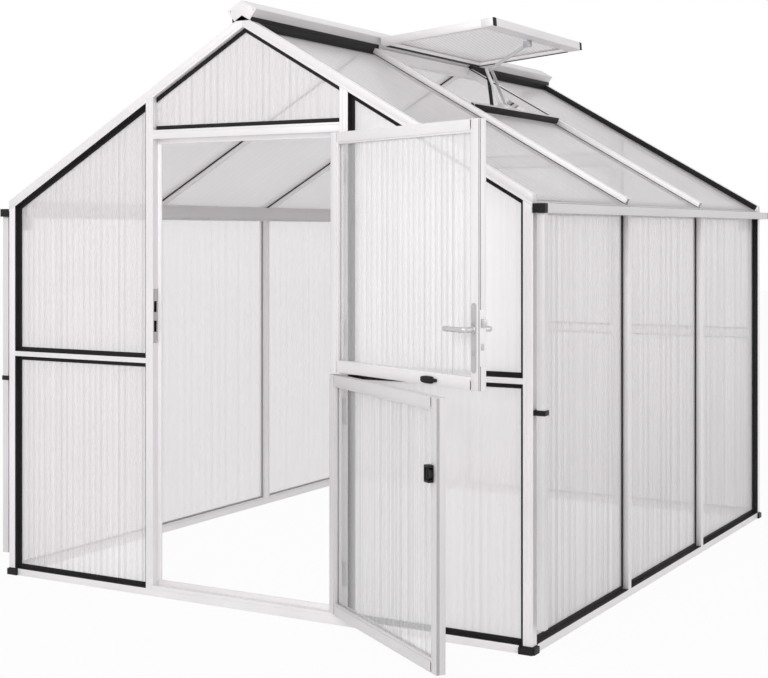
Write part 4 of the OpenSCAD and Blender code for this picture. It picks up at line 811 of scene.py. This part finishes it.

# Strike plate and its boxes
# A thin plate on the lock post has a slot for each bolt. A black plastic box behind each slot keeps
# the hollow post closed, and its black is painted shade that darkens the slot.
strike = eased("strike_plate", handle_steel, width=0.0004)
strike_low, strike_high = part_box("strike_plate")
strike_screw = screw_head(radius=0.0034, height=0.0010, finish=zinc)
strike_y = (strike_low.y + strike_high.y) / 2
strike_screw_z = (strike_low.z + screw_from_end, strike_high.z - screw_from_end)
place_heads(strike_screw, strike, [((strike_high.x - screw_seat, strike_y, z), (1, 0, 0))
                                   for z in strike_screw_z])
put_away(strike_screw)
box_depth, box_wall, box_fit, box_behind = 0.020, 0.0006, 0.0003, 0.0004
slot_in, slot_w = 0.005, 0.018
latch_slot_z, bolt_slot_z = (1.102, 1.145), (1.025, 1.069)
for name, (z0, z1) in (("latch_strike_box", latch_slot_z), ("bolt_strike_box", bolt_slot_z)):
    wide, tall = slot_w - 2 * box_fit, z1 - z0 - 2 * box_fit
    box_at = (strike_low.x - box_behind - box_depth / 2, wall_y + slot_in + slot_w / 2, (z0 + z1) / 2)
    bpy.ops.object.select_all(action="DESELECT")
    bpy.ops.mesh.primitive_cube_add(size=1, location=box_at, scale=(box_depth, wide, tall))
    pocket = bpy.context.object
    pocket.name = name
    bpy.ops.object.transform_apply(location=True, rotation=True, scale=True)
    pick_faces(pocket, lambda face: face.normal.x > 0.9)
    bpy.ops.mesh.inset(thickness=box_wall)
    bpy.ops.mesh.extrude_region_move(TRANSFORM_OT_translate={"value": (box_wall - box_depth, 0, 0)})
    bpy.ops.object.mode_set(mode="OBJECT")
    pocket.data.materials.append(black_moulding)
    pocket.select_set(False)
    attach(pocket, "frame")


# Turn button
# A black moulded button on the upper leaf's bottom rail turns on a screw and
# locks the two leaves together. It swells in the middle and ends in a nose.
def stepped_form(name, near_x, back_y, deep, mid_z, steps):
    """A plate whose half height is set step by step, from its near end towards -x."""
    x, half = near_x, steps[0][1]
    bpy.ops.object.select_all(action="DESELECT")
    bpy.ops.mesh.primitive_plane_add(size=1, rotation=(0, radians(90), 0),
                                     location=(x, back_y + deep / 2, mid_z))
    form = bpy.context.object
    form.name = name
    form.scale = (2 * half, deep, 1)
    bpy.ops.object.transform_apply(location=True, rotation=True, scale=True)
    bpy.ops.object.mode_set(mode="EDIT")
    bpy.ops.mesh.select_all(action="SELECT")
    for step, next_half in steps[1:]:
        x -= step
        bpy.ops.mesh.extrude_region_move(TRANSFORM_OT_translate={"value": (-step, 0, 0)})
        bpy.ops.transform.resize(value=(1, 1, next_half / half), center_override=(x, back_y, mid_z))
        half = next_half
    bpy.ops.mesh.select_all(action="SELECT")
    bpy.ops.mesh.normals_make_consistent(inside=False)
    bpy.ops.object.mode_set(mode="OBJECT")
    return form


def raise_pad(form, wanted, rim, up):
    """A pad stands on the wanted face, in from its rim."""
    pick_faces(form, wanted)
    bpy.ops.mesh.inset(thickness=rim)
    bpy.ops.mesh.extrude_region_move(TRANSFORM_OT_translate={"value": (0, up, 0)})
    bpy.ops.object.mode_set(mode="OBJECT")


def finish_form(form, edge, finish, move):
    """The edges are eased, and the form goes from the shut leaf to its place."""
    bevel = form.modifiers.new("moulded_edges", "BEVEL")
    bevel.width = edge
    bevel.segments = 3
    bevel.limit_method = "ANGLE"
    bevel.angle_limit = radians(35)
    bpy.ops.object.modifier_apply(modifier=bevel.name)
    bpy.ops.object.shade_smooth_by_angle(angle=radians(40))
    form.data.materials.append(finish)
    form.data.transform(move)
    form.select_set(False)


button_x, button_z = -0.587, joint_of["button_turn"]["pos_m"][2]
button_back, button_t = 0.0383, 0.009
button_tail = 0.040
button_steps = ((0, 0.0058), (0.004, 0.0085), (0.008, 0.0105), (0.012, 0.012), (0.030, 0.012),
                (0.006, 0.0100), (0.002, 0.0056), (0.018, 0.0052))
button = stepped_form("turn_button_moulding", button_x + button_tail, button_back, button_t, button_z,
                      button_steps)
finish_form(button, 0.0014, black_moulding, onto_upper)
button_screw = screw_head(radius=0.005, height=0.0015, finish=black_moulding)
button_screw_at = (button_x, button_back + button_t - screw_seat, button_z)
place_heads(button_screw, button, [(button_screw_at, (0, 1, 0))], onto_upper)
put_away(button_screw)
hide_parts("turn_button")
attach(button, "turn_button")

# Catch
# The lower leaf has a black catch, screwed to its stile. A grip with a rounded
# front slides in the housing and shoots the bolt.
eased("catch_housing", black_moulding, width=0.0012, segments=3)
grip_near, grip_back, grip_t, grip_z = -0.801, 0.046, 0.008, 0.670
grip_steps = ((0, 0.0186), (0.010, 0.0178), (0.0035, 0.0160), (0.0035, 0.0135), (0.003, 0.0105),
              (0.003, 0.0070), (0.002, 0.0035))
grip = stepped_form("catch_grip", grip_near, grip_back, grip_t, grip_z, grip_steps)
pad_rim, front_pad, back_pad = 0.0024, 0.0036, 0.0035
wide_part = grip_near - 0.009
raise_pad(grip, lambda face: face.normal.y > 0.9 and face.center.x > wide_part, pad_rim, front_pad)
raise_pad(grip, lambda face: face.normal.y < -0.9 and face.center.x > wide_part, pad_rim, -back_pad)
finish_form(grip, 0.0006, black_moulding, onto_open_leaf(lower_open))
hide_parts("catch_slide")
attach(grip, "catch_slide")
